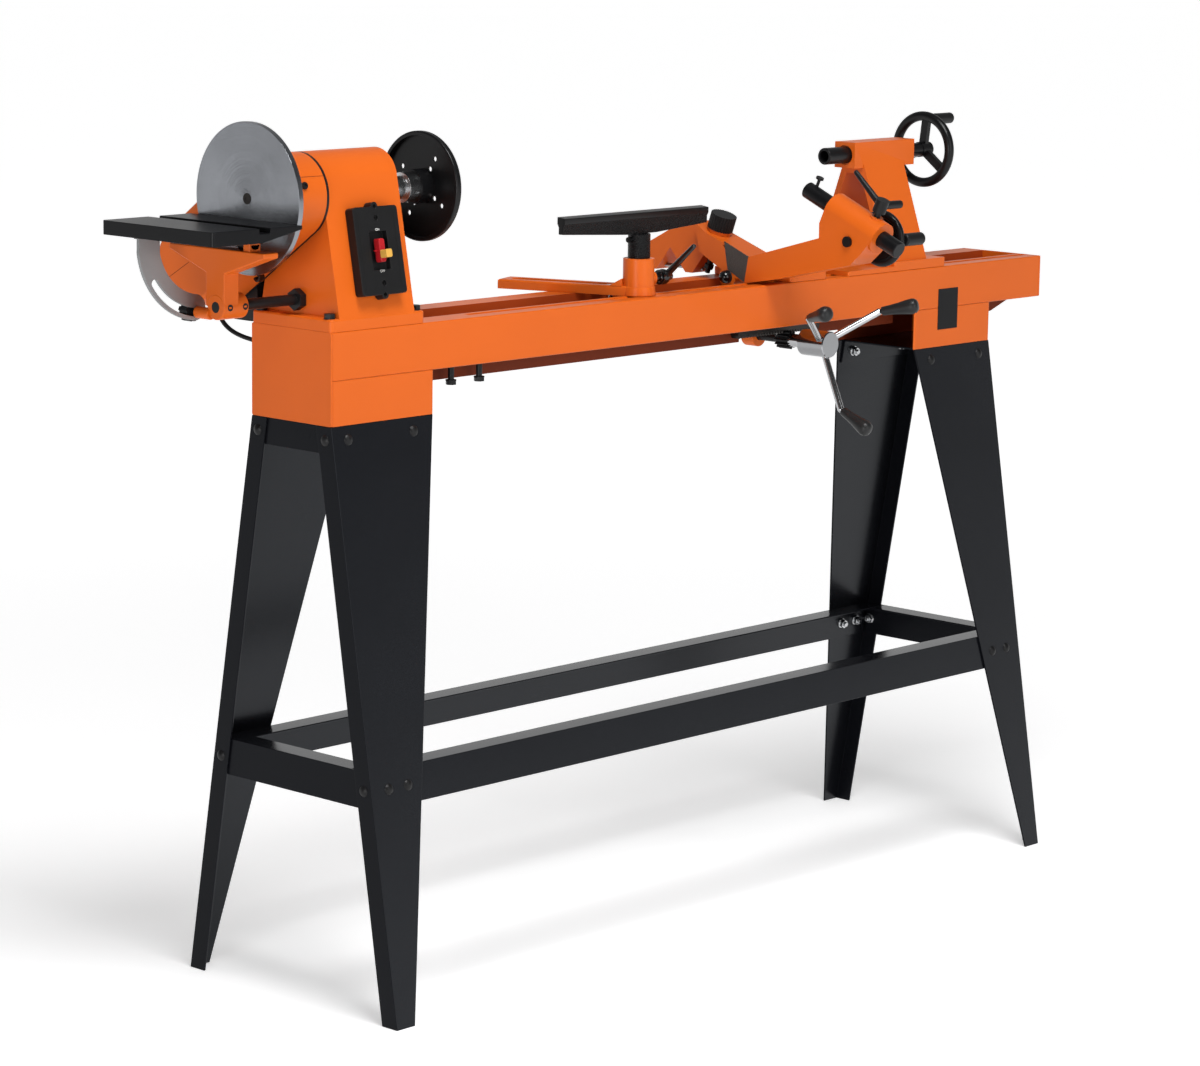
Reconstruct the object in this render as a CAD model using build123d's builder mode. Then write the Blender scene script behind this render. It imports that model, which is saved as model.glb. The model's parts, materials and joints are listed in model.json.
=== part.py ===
"""Copying wood lathe on a folded steel stand, as separate named solids.

X runs along the bed from the sanding disc to the tailstock, Y to the rear and
Z up. The origin is on the floor under the middle of the stand. Sizes are mm.
"""

import os
from math import asin, atan2, cos, degrees, hypot, pi, radians, sin, sqrt, tan

from build123d import *

os.makedirs("parts", exist_ok=True)

# Stand
stand_length = 1436
stand_height = 807
foot_spread = 424
leg_panel_top = 190
leg_panel_foot = 34
leg_flange = 30
leg_sheet = 3
tray_depth = 38
stretcher_height = 52
stretcher_depth = 35
stretcher_sheet = 3
stretcher_top = 346
bolt_flats = 13
bolt_head = 5.5
washer_radius = 7.7
washer_thick = 1.5
dome_radius = 8
dome_height = 4
leg_bolt_inset = 29
stretcher_bolt_inset = 33
stretcher_bolt_pitch = 36

# Bed
bed_width = 158
bed_overhang = 132
box_height = 61
box_edge = 1
box_sheet = 3
cover_sheet = 3
rail_height = 66
rail_flange = 44
rail_sheet = 4
rail_lip = 16
rail_foot_flange = 48
skirt_drop = 23
skirt_slant = 66
end_plate_sheet = 5
groove_width = 14
groove_depth = 2
groove_offset = 22
groove_start = 284
gland_radius = 9
gland_length = 8
gland_drop = 36
hanging_bolt_inset = 57
hanging_bolt_pitch = 55
hanging_bolt_drop = 21

# Rack and pinion
module = 2
pinion_teeth = 12
pressure_angle = 20
tooth_backlash = 0.6
tooth_addendum = 1.0
tooth_dedendum = 1.25
rack_width = 16
rack_teeth_left = 18
rack_teeth_right = 12

# Headstock
axis_height = 177
head_base_length = 174
head_base_height = 17
base_round = 6
cowl_start = 16
cowl_length = 139
cowl_arc_radius = 43
cowl_arc_rise = 15
cowl_foot_width = 156
cowl_wall = 6
cowl_end_wall = 16
bearing_radius = 26
bearing_width = 15
spindle_radius = 12.5

# Faceplate and sanding disc
faceplate_radius = 76.2
faceplate_thick = 10
faceplate_web = 3
faceplate_rim = 6
faceplate_reach = 91
faceplate_hub_radius = 24
faceplate_hub_length = 14
faceplate_holes = 4
faceplate_hole_radius = 3.5
faceplate_hole_circle = 46
inner_hole_circle = 29
faceplate_hole_angle = 33
nose_collar_radius = 21
nose_collar_length = 20
nose_shoulder_radius = 16
disc_radius = 101.6
disc_thick = 8
disc_gap = 4
disc_hub_radius = 24
disc_screw_radius = 7

# Belt drive
cover_length = 78
cover_wall = 3
cover_spindle_radius = 58
cover_motor_radius = 57
motor_offset_y = 142
motor_drop = 100
motor_plate_thick = 4
motor_radius = 54
motor_length = 196
motor_fins = 14
motor_fin_height = 3
motor_fin_width = 3
terminal_y = 85
terminal_width = 58
terminal_height = 54
terminal_length = 62
terminal_drop = 79
terminal_round = 12
pulley_radii = (38, 31, 24)
pulley_step = 16
belt_width = 7
belt_thick = 6
belt_gap = 0.6
belt_fit = 0.3
belt_step = 1
lead_radius = 3.2
lead_bend = 26
lead_exit_ribs = 1.5
lead_out = 48
lead_turn_y = 145
lead_rise = 31

# Switch
switch_width = 82
switch_height = 119
switch_depth = 15
switch_round = 5
switch_rise = 84
switch_recess_width = 32
switch_recess_height = 52
switch_recess_depth = 9
switch_ear_radius = 6
switch_ear_hole = 3
switch_screw_radius = 4
switch_screw_pitch = 88
paddle_width = 19
paddle_height = 42
paddle_depth = 10
key_width = 13
key_height = 13
key_depth = 12

# Sanding table
rod_radius = 7.5
rod_length = 150
rod_rise = 20
rod_nut_flats = 26
rod_nut_length = 11
yoke_boss_radius = 17
yoke_boss_length = 66
yoke_thick = 26
yoke_half_width = 95
yoke_lug = 13
yoke_lug_y = 50
set_screw_radius = 3
set_screw_inset = 15
yoke_lug_radius = 10
trunnion_radius = 4
table_drop = 27
table_thick = 19
table_length = 154
table_width = 220
table_disc_gap = 2
table_edge = 5
table_bevel = 70
mitre_width = 19
mitre_depth = 7
mitre_offset = 65
tilt_offset = 40
tilt_drop = 25
quadrant_radius = 92.5
quadrant_width = 35
quadrant_thick = 5
quadrant_y = 41
quadrant_slot = 11
quadrant_start = 188
quadrant_end = 262
slot_radius = 99
slot_start = 214
clamp_angle = 263
clamp_bolt_radius = 4
clamp_boss_radius = 11
clamp_knob_radius = 13
clamp_knob_length = 16

# Tool rest and banjo
rest_x = -75
rest_y = -42
rest_rise = 123
rest_shift = 11
rest_length = 308
rest_end_height = 25
rest_mid_height = 33
rest_lip = 10
rest_cove = 5
rest_drop = 2
rest_top_depth = 15
rest_web = 9.5
rest_collar_radius = 16.5
rest_post_radius = 12.5
rest_screw_radius = 4
rest_screw_length = 8
boss_radius = 23
boss_height = 54
banjo_angle = 21
banjo_reach = 214
banjo_width = 44
banjo_thick = 14
banjo_slot = 13
banjo_slot_start = 26
banjo_slot_end = 196
banjo_ledge = 7
shoe_head = 21
shoe_head_thick = 5
shoe_length = 16
clamp_bolt = 5
clamp_plate_length = 50
clamp_plate_width = 112
clamp_plate_thick = 10
lever_neck_radius = 6
lever_neck = 15
lever_drop = 4
lever_hub_radius = 11
lever_hub_length = 25
lever_arm = 74
lever_arm_radius = 5.5
lever_tip_radius = 3.6
lever_rise = 41

# Copying carriage
arm_x = 164
arm_width = 52
arm_wall = 8
recess_depth = 6
rear_plate_inset = 16
pivot_y = -4
pivot_height = 7
pivot_radius = 8
pivot_boss_radius = 16
pivot_cap_radius = 10.5
bar_tilt = 23.5
bar_radius = 12.5
bar_length = 192
sleeve_radius = 24
sleeve_length = 98
sleeve_rear_y = -191
sleeve_rise = 123
bar_rear_reach = 58
bar_screw_inset = 14
bar_screw_radius = 2.4
bar_screw_height = 12
bar_screw_head = 3
bar_screw_head_radius = 6
feed_teeth = 16
bar_teeth = 23
feed_module = 1.5
feed_shaft_radius = 5
feed_back = 60
feed_gear_width = 14
feed_wheel_gap = 26
feed_nut_radius = 8
feed_nut = 4
feed_wheel_radius = 42
feed_rim = 6
feed_hub_radius = 11
feed_hub_length = 16
handle_pin_radius = 3
feed_handle_radius = 9.5
feed_handle_length = 42
head_lever_back = 76
head_screw_radius = 5
head_screw_height = 8
head_lever_radius = 10
head_lever_height = 20
head_lever_arm = 66
head_lever_rise = 20
head_lever_root = 5.5
head_lever_tip = 3.6
head_pin_length = 44
head_pin_radius = 6
knob_y = 37
knob_radius = 20
knob_height = 24
knob_tilt = 19.4
knob_flutes = 30
knob_flute_radius = 1.3
clamp_flutes = 8
clamp_flute_radius = 2.2
knob_screw_radius = 5
knob_foot_radius = 4
stop_gap = 5
saddle_gap = 10
saddle_length = 84
saddle_thick = 12
saddle_tongue = 16
tracer_radius = 3
tracer_head_radius = 5
tracer_head = 9

# Side view of the copying arm, along Y and up from the bed
valley_y = -45
valley_rise = 40
hump_y = 44
crest_y = 64
crest_step = 14
plate_front_y = 10
plate_front_rise = 18
plate_bend_y = 126
plate_bend_rise = 69
plate_rear_y = 170
plate_rear_rise = 46
mid_foot_y = 88
rear_foot_y = 162
foot_half = 7
foot_rise = 4.5
notch_front_y = 53
notch_rear_y = 127
notch_rise = 40
arm_root_y = -40
arm_bend_y = -89
arm_bend_rise = 9
arm_nose_y = -242
arm_nose_rise = 44
recess_edge = 3
recess_top_y = 6
recess_low_y = -28

# Capstan
capstan_inset = 26
capstan_drop = 25
carriage_left = 85
carriage_right = 45
apron_half = 12
apron_boss_radius = 16
apron_boss_length = 24
apron_boss_front = 5
capstan_shaft_radius = 6
pinion_back = 36
pinion_width = 24
neck_radius = 10
capstan_flange_radius = 22
capstan_flange = 5
hub_radius = 17.5
hub_length = 50
hub_front = 136
lever_count = 3
lever_first_angle = 30
lever_rod_radius = 4
lever_rod = 78
lever_lean = 21.7
grip_lean = 49
jam_nut_flats = 14
jam_nut = 7
grip_radius = 10.5
grip_neck_radius = 6
grip_length = 52

# Tailstock
tail_x = 462
tail_column_length = 98
tail_top_half = 19
tail_foot_half = 72
tail_wall = 9
barrel_half = 20
barrel_overhang = 22
barrel_length = 147
barrel_mouth = 2.2
barrel_mouth_depth = 3
tail_foot_length = 137
tail_foot_height = 14
tongue_length = 112
tongue_height = 7
quill_radius = 13
quill_reach = 50
quill_length = 150
taper_mouth = 8.9
taper_end = 7.3
taper_depth = 64
screw_radius = 6
screw_lead = 4
wheel_radius = 60
wheel_rim = 7.5
wheel_gap = 48
wheel_hub_radius = 12
wheel_hub_length = 24
spoke_width = 13
spoke_thick = 8
spoke_count = 3
spoke_first_angle = 97
crank_circle = 47
crank_neck = 17
crank_radius = 8.7
crank_length = 44

# Fits
run_gap = 0.05
slide_gap = 0.2
free_gap = 1.0

# Derived places
half_stand = stand_length / 2
half_bed = bed_width / 2
leg_run = foot_spread / 2 - half_bed
leg_slope = leg_run / stand_height
leg_tilt = degrees(atan2(leg_run, stand_height))
panel_depth = leg_sheet / cos(radians(leg_tilt))
panel_taper = (leg_panel_top - leg_panel_foot) / stand_height
box_length = leg_panel_top + box_edge
rail_z = stand_height + box_height
bed_z = rail_z + rail_height
axis_z = bed_z + axis_height
bed_right = half_stand + bed_overhang
box_right_x = half_stand - box_length
box_left_end = -half_stand + box_length
rail_inner = half_bed - rail_flange
rail_left = -half_stand + cover_sheet
rail_right = bed_right - end_plate_sheet
skirt_inner = half_bed - rail_foot_flange
skirt_z = rail_z - skirt_drop
arm_far = arm_x + arm_width
saddle_x = arm_far + saddle_gap
capstan_x = saddle_x + capstan_inset
capstan_z = rail_z - capstan_drop
feed_wheel_x = arm_far + feed_wheel_gap
pitch_radius = module * pinion_teeth / 2
tooth_pitch = pi * module
rack_z = capstan_z + pitch_radius
rack_left = capstan_x - rack_teeth_left * tooth_pitch
rack_right = capstan_x + rack_teeth_right * tooth_pitch
head_left = -half_stand
cowl_left = head_left + cowl_start
cowl_right = cowl_left + cowl_length
cowl_z = bed_z + head_base_height
faceplate_face_x = cowl_right + faceplate_reach
switch_z = cowl_z + switch_rise
rod_z = cowl_z + rod_rise
table_top_z = axis_z - table_drop
rest_top_z = bed_z + rest_rise
sleeve_rear_z = bed_z + sleeve_rise
cowl_arc_z = axis_z + cowl_arc_rise
cowl_half = cowl_foot_width / 2
cowl_lean = degrees(
    atan2(cowl_half, cowl_arc_z - cowl_z)
    - asin(cowl_arc_radius / hypot(cowl_half, cowl_arc_z - cowl_z))
)
cover_right = cowl_left - motor_plate_thick
cover_left = cover_right - cover_length
motor_z = axis_z - motor_drop
disc_back = cover_left - disc_gap
disc_face = disc_back - disc_thick
table_right = disc_face - table_disc_gap
table_left = table_right - table_length
table_under = table_top_z - table_thick
tilt_x = table_right - tilt_offset
tilt_z = table_top_z - tilt_drop
rod_end = cowl_left - rod_length
clamp_x = tilt_x + slot_radius * cos(radians(clamp_angle))
clamp_z = tilt_z + slot_radius * sin(radians(clamp_angle))
banjo_z = bed_z + slide_gap
boss_top = banjo_z + boss_height
clamp_at = -rest_y / cos(radians(banjo_angle))
banjo_axis = Vector(-sin(radians(banjo_angle)), cos(radians(banjo_angle)), 0)
arm_mid = arm_x + sleeve_radius
pivot_z = bed_z + pivot_height
bar_way = Vector(0, cos(radians(bar_tilt)), sin(radians(bar_tilt)))
bar_up = Vector(0, -sin(radians(bar_tilt)), cos(radians(bar_tilt)))
bar_origin = Vector(arm_mid, sleeve_rear_y, sleeve_rear_z)
feed_pitch_radius = feed_module * feed_teeth / 2
feed_pitch_line = bar_radius - feed_module * tooth_addendum
feed_drop = feed_pitch_line + feed_pitch_radius
feed_centre = bar_origin - bar_way * feed_back - bar_up * feed_drop
saddle_z = bed_z + slide_gap
tail_z = bed_z + slide_gap
tail_right = tail_x + tail_column_length
wheel_x = tail_x - barrel_overhang + barrel_length + wheel_gap
FROM_END = (Align.CENTER, Align.CENTER, Align.MIN)


def bar(start, end, radius, mode=Mode.ADD):
    """Adds a round bar between two points to the part being built."""
    way = Vector(*end) - Vector(*start)
    with Locations(Plane(origin=start, z_dir=way)):
        Cylinder(radius, way.length, align=FROM_END, mode=mode)


def bar_x(y, z, radius, x_low, x_high, mode=Mode.ADD):
    """Adds a round bar along X."""
    bar((x_low, y, z), (x_high, y, z), radius, mode)


def bar_y(x, z, radius, y_low, y_high, mode=Mode.ADD):
    """Adds a round bar along Y."""
    bar((x, y_low, z), (x, y_high, z), radius, mode)


def bar_z(x, y, radius, z_low, z_high, mode=Mode.ADD):
    """Adds a round bar along Z."""
    bar((x, y, z_low), (x, y, z_high), radius, mode)


def block(x_low, x_high, y_low, y_high, z_low, z_high, mode=Mode.ADD):
    """Adds a box given by its two limits on each axis."""
    middle = ((x_low + x_high) / 2, (y_low + y_high) / 2, (z_low + z_high) / 2)
    with Locations(middle):
        Box(abs(x_high - x_low), abs(y_high - y_low), abs(z_high - z_low), mode=mode)


def prism(plane, corners, amount, mode=Mode.ADD):
    """Adds a polygon drawn on a plane and drawn out along its normal."""
    with BuildSketch(plane, mode=Mode.PRIVATE) as outline:
        Polygon(*corners, align=None)
    extrude(outline.sketch, amount=amount, mode=mode)


def hexagon(origin, way, flats, height, mode=Mode.ADD):
    """Adds a hexagon head or nut that stands on a point."""
    with BuildSketch(Plane(origin=origin, z_dir=way), mode=Mode.PRIVATE) as outline:
        RegularPolygon(flats / 2, 6, major_radius=False)
    extrude(outline.sketch, amount=height, mode=mode)


def bolt(origin, way):
    """Adds a hexagon head on its washer, seated on a face."""
    way = Vector(*way).normalized()
    seat = Vector(*origin)
    bar(seat, seat + way * washer_thick, washer_radius)
    hexagon(seat + way * washer_thick, way, bolt_flats, bolt_head)


def dome(origin, way, radius, height):
    """Adds a domed head that stands on a point."""
    curve = (radius**2 + height**2) / (2 * height)
    rim_angle = degrees(asin((curve - height) / curve))
    with Locations(Plane(origin=origin, z_dir=way)):
        Sphere(curve, arc_size1=rim_angle, align=FROM_END)


def taper(start, end, root_radius, tip_radius):
    """Adds a bar that narrows from one point to another, with a rounded tip."""
    way = Vector(*end) - Vector(*start)
    with Locations(Plane(origin=start, z_dir=way)):
        Cone(root_radius, tip_radius, way.length, align=FROM_END)
    with Locations(end):
        Sphere(tip_radius)


def save(part, label):
    """Names a finished part and writes its file."""
    part.label = label
    export_step(part, f"parts/{label}.step")


def panel_y(height):
    """Half width of the stand over the outer faces of its panels."""
    return half_bed + leg_slope * (stand_height - height)


# Legs: a tapering panel that leans out, and a flange round the stand's end
for end_name, end_side in (("left", -1), ("right", 1)):
    for face_name, face_side in (("front", -1), ("rear", 1)):
        end_x = end_side * half_stand
        top_y = face_side * half_bed
        foot_y = face_side * foot_spread / 2
        fold = face_side * panel_depth
        turn = face_side * leg_flange
        with BuildPart() as leg:
            with BuildSketch(Plane.YZ.offset(end_x)):
                Polygon(
                    (top_y, stand_height),
                    (foot_y, 0),
                    (foot_y - fold, 0),
                    (top_y - fold, stand_height),
                    align=None,
                )
            extrude(amount=-end_side * leg_panel_top)
            with BuildSketch(Plane.XZ):
                Polygon(
                    (end_x, 0),
                    (end_x - end_side * leg_panel_foot, 0),
                    (end_x - end_side * leg_panel_top, stand_height),
                    (end_x, stand_height),
                    align=None,
                )
            extrude(amount=foot_spread, both=True, mode=Mode.INTERSECT)
            with BuildSketch(Plane.YZ.offset(end_x)):
                Polygon(
                    (top_y, stand_height),
                    (foot_y, 0),
                    (foot_y - turn, 0),
                    (top_y - turn, stand_height),
                    align=None,
                )
            extrude(amount=-end_side * leg_sheet)
        save(leg.part, f"leg_{face_name}_{end_name}")

# Trays: folded caps between the tops of two legs
tray_low = stand_height - tray_depth
tray_reach = leg_panel_top - panel_taper * tray_depth - leg_sheet
for end_name, end_side in (("left", -1), ("right", 1)):
    tray_x = end_side * (half_stand - leg_sheet)
    tray_long = tray_reach - leg_sheet
    wide_low = panel_y(tray_low) - panel_depth
    wide_top = panel_y(stand_height) - panel_depth
    with BuildPart() as tray:
        with BuildSketch(Plane.YZ.offset(tray_x)):
            Polygon(
                (-wide_low, tray_low),
                (wide_low, tray_low),
                (wide_top, stand_height),
                (-wide_top, stand_height),
                align=None,
            )
        extrude(amount=-end_side * tray_long)
        with BuildSketch(Plane.YZ.offset(tray_x - end_side * leg_sheet)):
            Polygon(
                (-wide_low + panel_depth, tray_low),
                (wide_low - panel_depth, tray_low),
                (wide_top - panel_depth, stand_height - leg_sheet),
                (-wide_top + panel_depth, stand_height - leg_sheet),
                align=None,
            )
        extrude(amount=-end_side * (tray_long - 2 * leg_sheet), mode=Mode.SUBTRACT)
    save(tray.part, f"leg_tray_{end_name}")

# Long stretchers: angles behind the front and rear panels
long_end = half_stand - leg_sheet - stretcher_sheet
stretcher_low = stretcher_top - stretcher_height
for face_name, face_side in (("front", -1), ("rear", 1)):
    with BuildPart() as stretcher:
        high_y = panel_y(stretcher_top) - panel_depth
        low_y = panel_y(stretcher_low) - panel_depth
        shelf_y = panel_y(stretcher_top - stretcher_sheet) - panel_depth
        with BuildSketch(Plane.YZ.offset(-long_end)):
            Polygon(
                (face_side * high_y, stretcher_top),
                (face_side * low_y, stretcher_low),
                (face_side * (low_y - stretcher_sheet), stretcher_low),
                (face_side * (shelf_y - stretcher_sheet), stretcher_top - stretcher_sheet),
                (face_side * (high_y - stretcher_depth), stretcher_top - stretcher_sheet),
                (face_side * (high_y - stretcher_depth), stretcher_top),
                align=None,
            )
        extrude(amount=2 * long_end)
    save(stretcher.part, f"stretcher_{face_name}")

# End stretchers: angles inside the end flanges
end_half = panel_y(stretcher_top) - panel_depth
shelf_half = end_half - stretcher_depth - free_gap
for end_name, end_side in (("left", -1), ("right", 1)):
    flange_x = end_side * (half_stand - leg_sheet)
    with BuildPart() as stretcher:
        block(
            flange_x,
            flange_x - end_side * stretcher_sheet,
            -end_half,
            end_half,
            stretcher_low,
            stretcher_top,
        )
        block(
            flange_x,
            flange_x - end_side * stretcher_depth,
            -shelf_half,
            shelf_half,
            stretcher_top - stretcher_sheet,
            stretcher_top,
        )
    save(stretcher.part, f"stretcher_{end_name}")

# Stand bolts: domed heads on the panels and flanges, at the trays and the stretchers
stretcher_mid = (stretcher_top + stretcher_low) / 2
tray_mid = stand_height - tray_depth / 2
with BuildPart() as stand_bolts:
    for end_side in (-1, 1):
        for face_side in (-1, 1):
            out = (0, face_side, leg_slope)
            for inset in (leg_bolt_inset, tray_reach - leg_bolt_inset):
                place_x = end_side * (half_stand - inset)
                stud = (place_x, face_side * panel_y(tray_mid), tray_mid)
                dome(stud, out, dome_radius, dome_height)
            for count in range(2):
                inset = stretcher_bolt_inset + count * stretcher_bolt_pitch
                place_x = end_side * (half_stand - inset)
                stud = (place_x, face_side * panel_y(stretcher_mid), stretcher_mid)
                dome(stud, out, dome_radius, dome_height)
            for height in (tray_mid, stretcher_mid):
                place_y = face_side * (panel_y(height) - leg_flange / 2)
                stud = (end_side * half_stand, place_y, height)
                dome(stud, (end_side, 0, 0), dome_radius, dome_height)
save(stand_bolts.part, "stand_bolts")

# Boxes that carry the bed over each pair of legs, open to the middle of the bed
for end_name, box_low, box_high, hollow_low, hollow_high in (
    ("left", rail_left, box_left_end, rail_left + box_sheet, box_left_end),
    ("right", box_right_x, half_stand, box_right_x, half_stand - box_sheet),
):
    with BuildPart() as box:
        block(box_low, box_high, -half_bed, half_bed, stand_height, rail_z)
        fillet(box.edges().filter_by(Axis.Z), radius=box_sheet)
        block(
            hollow_low,
            hollow_high,
            -half_bed + box_sheet,
            half_bed - box_sheet,
            stand_height,
            rail_z,
            Mode.SUBTRACT,
        )
        if end_name == "left":
            bar_y(
                box_low + 2 * gland_radius,
                rail_z - gland_drop,
                gland_radius,
                half_bed - box_sheet,
                half_bed + gland_length,
            )
            fillet(box.faces().sort_by(Axis.Y)[-1].edges(), radius=gland_length / 2)
    save(box.part, f"support_box_{end_name}")

# Cover plate over the headstock end of the bed and its box
with BuildPart() as end_cover:
    block(-half_stand, rail_left, -half_bed, half_bed, stand_height, bed_z)
    fillet(end_cover.edges().filter_by(Axis.X), radius=cover_sheet)
save(end_cover.part, "end_cover")

# Bed rails: folded channels that face each other, with a skirt below
shaft_notch_z = capstan_z + capstan_shaft_radius + 2 * free_gap
shaft_notch_left = capstan_x - carriage_left - capstan_shaft_radius - 2 * free_gap
shaft_notch_right = capstan_x + carriage_right + capstan_shaft_radius + 2 * free_gap
for face_name, face_side in (("front", -1), ("rear", 1)):
    out_y = face_side * half_bed
    web_y = face_side * (half_bed - rail_sheet)
    lip_y = face_side * rail_inner
    skirt_y = face_side * skirt_inner
    sheet = face_side * rail_sheet
    with BuildPart() as rail:
        block(rail_left, rail_right, web_y, out_y, rail_z, bed_z)
        fillet(
            rail.edges().filter_by(Axis.X).group_by(Axis.Y)[0 if face_side < 0 else -1],
            radius=rail_sheet / 2,
        )
        block(rail_left, rail_right, lip_y, web_y, bed_z - rail_sheet, bed_z)
        block(rail_left, rail_right, lip_y, lip_y + sheet, bed_z - rail_lip, bed_z)
        block(rail_left, rail_right, skirt_y, web_y, rail_z, rail_z + rail_sheet)
        block(
            box_left_end + slide_gap,
            box_right_x - slide_gap,
            skirt_y,
            skirt_y + sheet,
            skirt_z,
            rail_z,
        )
        prism(
            Plane.XZ.offset(-skirt_y),
            (
                (half_stand + slide_gap, rail_z),
                (half_stand + slide_gap, skirt_z),
                (rail_right - skirt_slant, skirt_z),
                (rail_right, rail_z),
            ),
            -sheet,
        )
        if face_side < 0:
            block(
                shaft_notch_left,
                shaft_notch_right,
                skirt_y,
                skirt_y + sheet,
                skirt_z,
                shaft_notch_z,
                Mode.SUBTRACT,
            )
            groove_y = -half_bed + groove_offset
            block(
                -half_stand + groove_start,
                rail_right,
                groove_y,
                groove_y + groove_width,
                bed_z - groove_depth,
                bed_z,
                Mode.SUBTRACT,
            )
    save(rail.part, f"bed_rail_{face_name}")

# Plate over the tailstock end of the bed
with BuildPart() as end_plate:
    block(rail_right, bed_right, -half_bed, half_bed, rail_z, bed_z)
    fillet(end_plate.edges().filter_by(Axis.X), radius=rail_sheet / 2)
save(end_plate.part, "bed_end_plate")


def gear_outline(teeth, size):
    """Draws a gear on the sketch being built, a tooth pointing along local Y."""
    pitch = size * teeth / 2
    tip = pitch + size * tooth_addendum
    root = pitch - size * tooth_dedendum
    base = pitch * cos(radians(pressure_angle))
    lowest = max(root, base)
    thick = (pi * size - tooth_backlash) / 2
    involute_at_pitch = tan(radians(pressure_angle)) - radians(pressure_angle)

    def flank(radius):
        """Point on the left flank of the tooth at a radius."""
        roll = sqrt(max((radius / base) ** 2 - 1, 0))
        spread = thick / (2 * pitch) + involute_at_pitch - (roll - atan2(roll, 1))
        return (-radius * sin(spread), radius * cos(spread))

    left = [flank(lowest), flank((lowest + tip) / 2), flank(tip)]
    low = (left[0][0] * root / lowest, left[0][1] * root / lowest)
    right = [(-x, y) for x, y in reversed(left)]
    with BuildSketch(mode=Mode.PRIVATE) as tooth:
        with BuildLine():
            Polyline((0, 0), low, left[0])
            ThreePointArc(*left)
            Line(left[-1], right[0])
            ThreePointArc(*right)
            Polyline(right[-1], (-low[0], low[1]), (0, 0))
        make_face()
    Circle(root)
    with PolarLocations(0, teeth):
        add(tooth.sketch)


# Rack under the front rail, its teeth pointing down to the pinion
tooth_half = (tooth_pitch - tooth_backlash) / 4
tooth_lean = module * tan(radians(pressure_angle))
tip_drop = module * tooth_addendum
root_rise = module * tooth_dedendum
rack_back = -(skirt_inner + rail_sheet)
rack_count = rack_teeth_left + rack_teeth_right
with BuildPart() as rack:
    with BuildSketch(Plane.XZ.offset(-rack_back)):
        Polygon(
            (rack_left, rack_z + root_rise),
            (rack_right, rack_z + root_rise),
            (rack_right, rail_z),
            (rack_left, rail_z),
            align=None,
        )
        with Locations((rack_left + tooth_pitch / 2, rack_z)):
            with GridLocations(tooth_pitch, 1, rack_count, 1, align=(Align.MIN, Align.CENTER)):
                Polygon(
                    (-tooth_half - tooth_lean * tooth_dedendum, root_rise),
                    (-tooth_half + tooth_lean * tooth_addendum, -tip_drop),
                    (tooth_half - tooth_lean * tooth_addendum, -tip_drop),
                    (tooth_half + tooth_lean * tooth_dedendum, root_rise),
                    align=None,
                )
    extrude(amount=rack_width)
save(rack.part, "feed_rack")

# Headstock: base flange and arched cowl in one casting
with BuildPart() as headstock:
    block(
        head_left,
        head_left + head_base_length,
        -half_bed,
        half_bed,
        bed_z,
        cowl_z,
    )
    fillet(headstock.edges().filter_by(Axis.Z), radius=base_round)
    fillet(headstock.faces().sort_by(Axis.Z)[-1].edges(), radius=base_round / 2)
    with BuildSketch(Plane.YZ.offset(cowl_left)):
        with Locations((0, cowl_arc_z)):
            Circle(cowl_arc_radius)
        with Locations((0, cowl_z)):
            Rectangle(cowl_foot_width, base_round, align=(Align.CENTER, Align.MAX))
        make_hull()
    extrude(amount=cowl_length)
    with BuildSketch(Plane.YZ.offset(cowl_left + cowl_end_wall)):
        with Locations((0, cowl_arc_z)):
            Circle(cowl_arc_radius - cowl_wall)
        with Locations((0, bed_z)):
            Rectangle(cowl_foot_width - 2 * cowl_wall, base_round, align=(Align.CENTER, Align.MIN))
        make_hull()
    extrude(amount=cowl_length - 2 * cowl_end_wall, mode=Mode.SUBTRACT)
    bar_x(0, axis_z, bearing_radius + run_gap, cowl_left, cowl_left + cowl_end_wall, Mode.SUBTRACT)
    bar_x(
        0, axis_z, bearing_radius + run_gap, cowl_right - cowl_end_wall, cowl_right, Mode.SUBTRACT
    )
save(headstock.part, "headstock")

# Bearings in the two end walls of the cowl
with BuildPart() as bearings:
    for wall_x in (cowl_left, cowl_right - cowl_end_wall):
        low_x = wall_x + (cowl_end_wall - bearing_width) / 2
        high_x = low_x + bearing_width
        bar_x(0, axis_z, bearing_radius, low_x, high_x)
        bar_x(0, axis_z, spindle_radius + run_gap, low_x, high_x, Mode.SUBTRACT)
save(bearings.part, "spindle_bearings")

# Spindle from the disc's screw, through both bearings, to the nose
nose_x = faceplate_face_x - faceplate_thick - faceplate_hub_length
with BuildPart() as spindle:
    bar_x(0, axis_z, spindle_radius, disc_back - disc_thick / 2, faceplate_face_x - free_gap)
    bar_x(0, axis_z, nose_shoulder_radius, cowl_right + free_gap, nose_x)
    bar_x(0, axis_z, nose_collar_radius, nose_x - nose_collar_length, nose_x)
    with Locations(Plane(origin=(disc_face, 0, axis_z), z_dir=(1, 0, 0))):
        Cone(disc_screw_radius, disc_screw_radius / 2, disc_thick / 2, align=FROM_END)
    hexagon((disc_face, 0, axis_z), (1, 0, 0), disc_screw_radius, disc_thick / 4, Mode.SUBTRACT)
save(spindle.part, "spindle")

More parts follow.
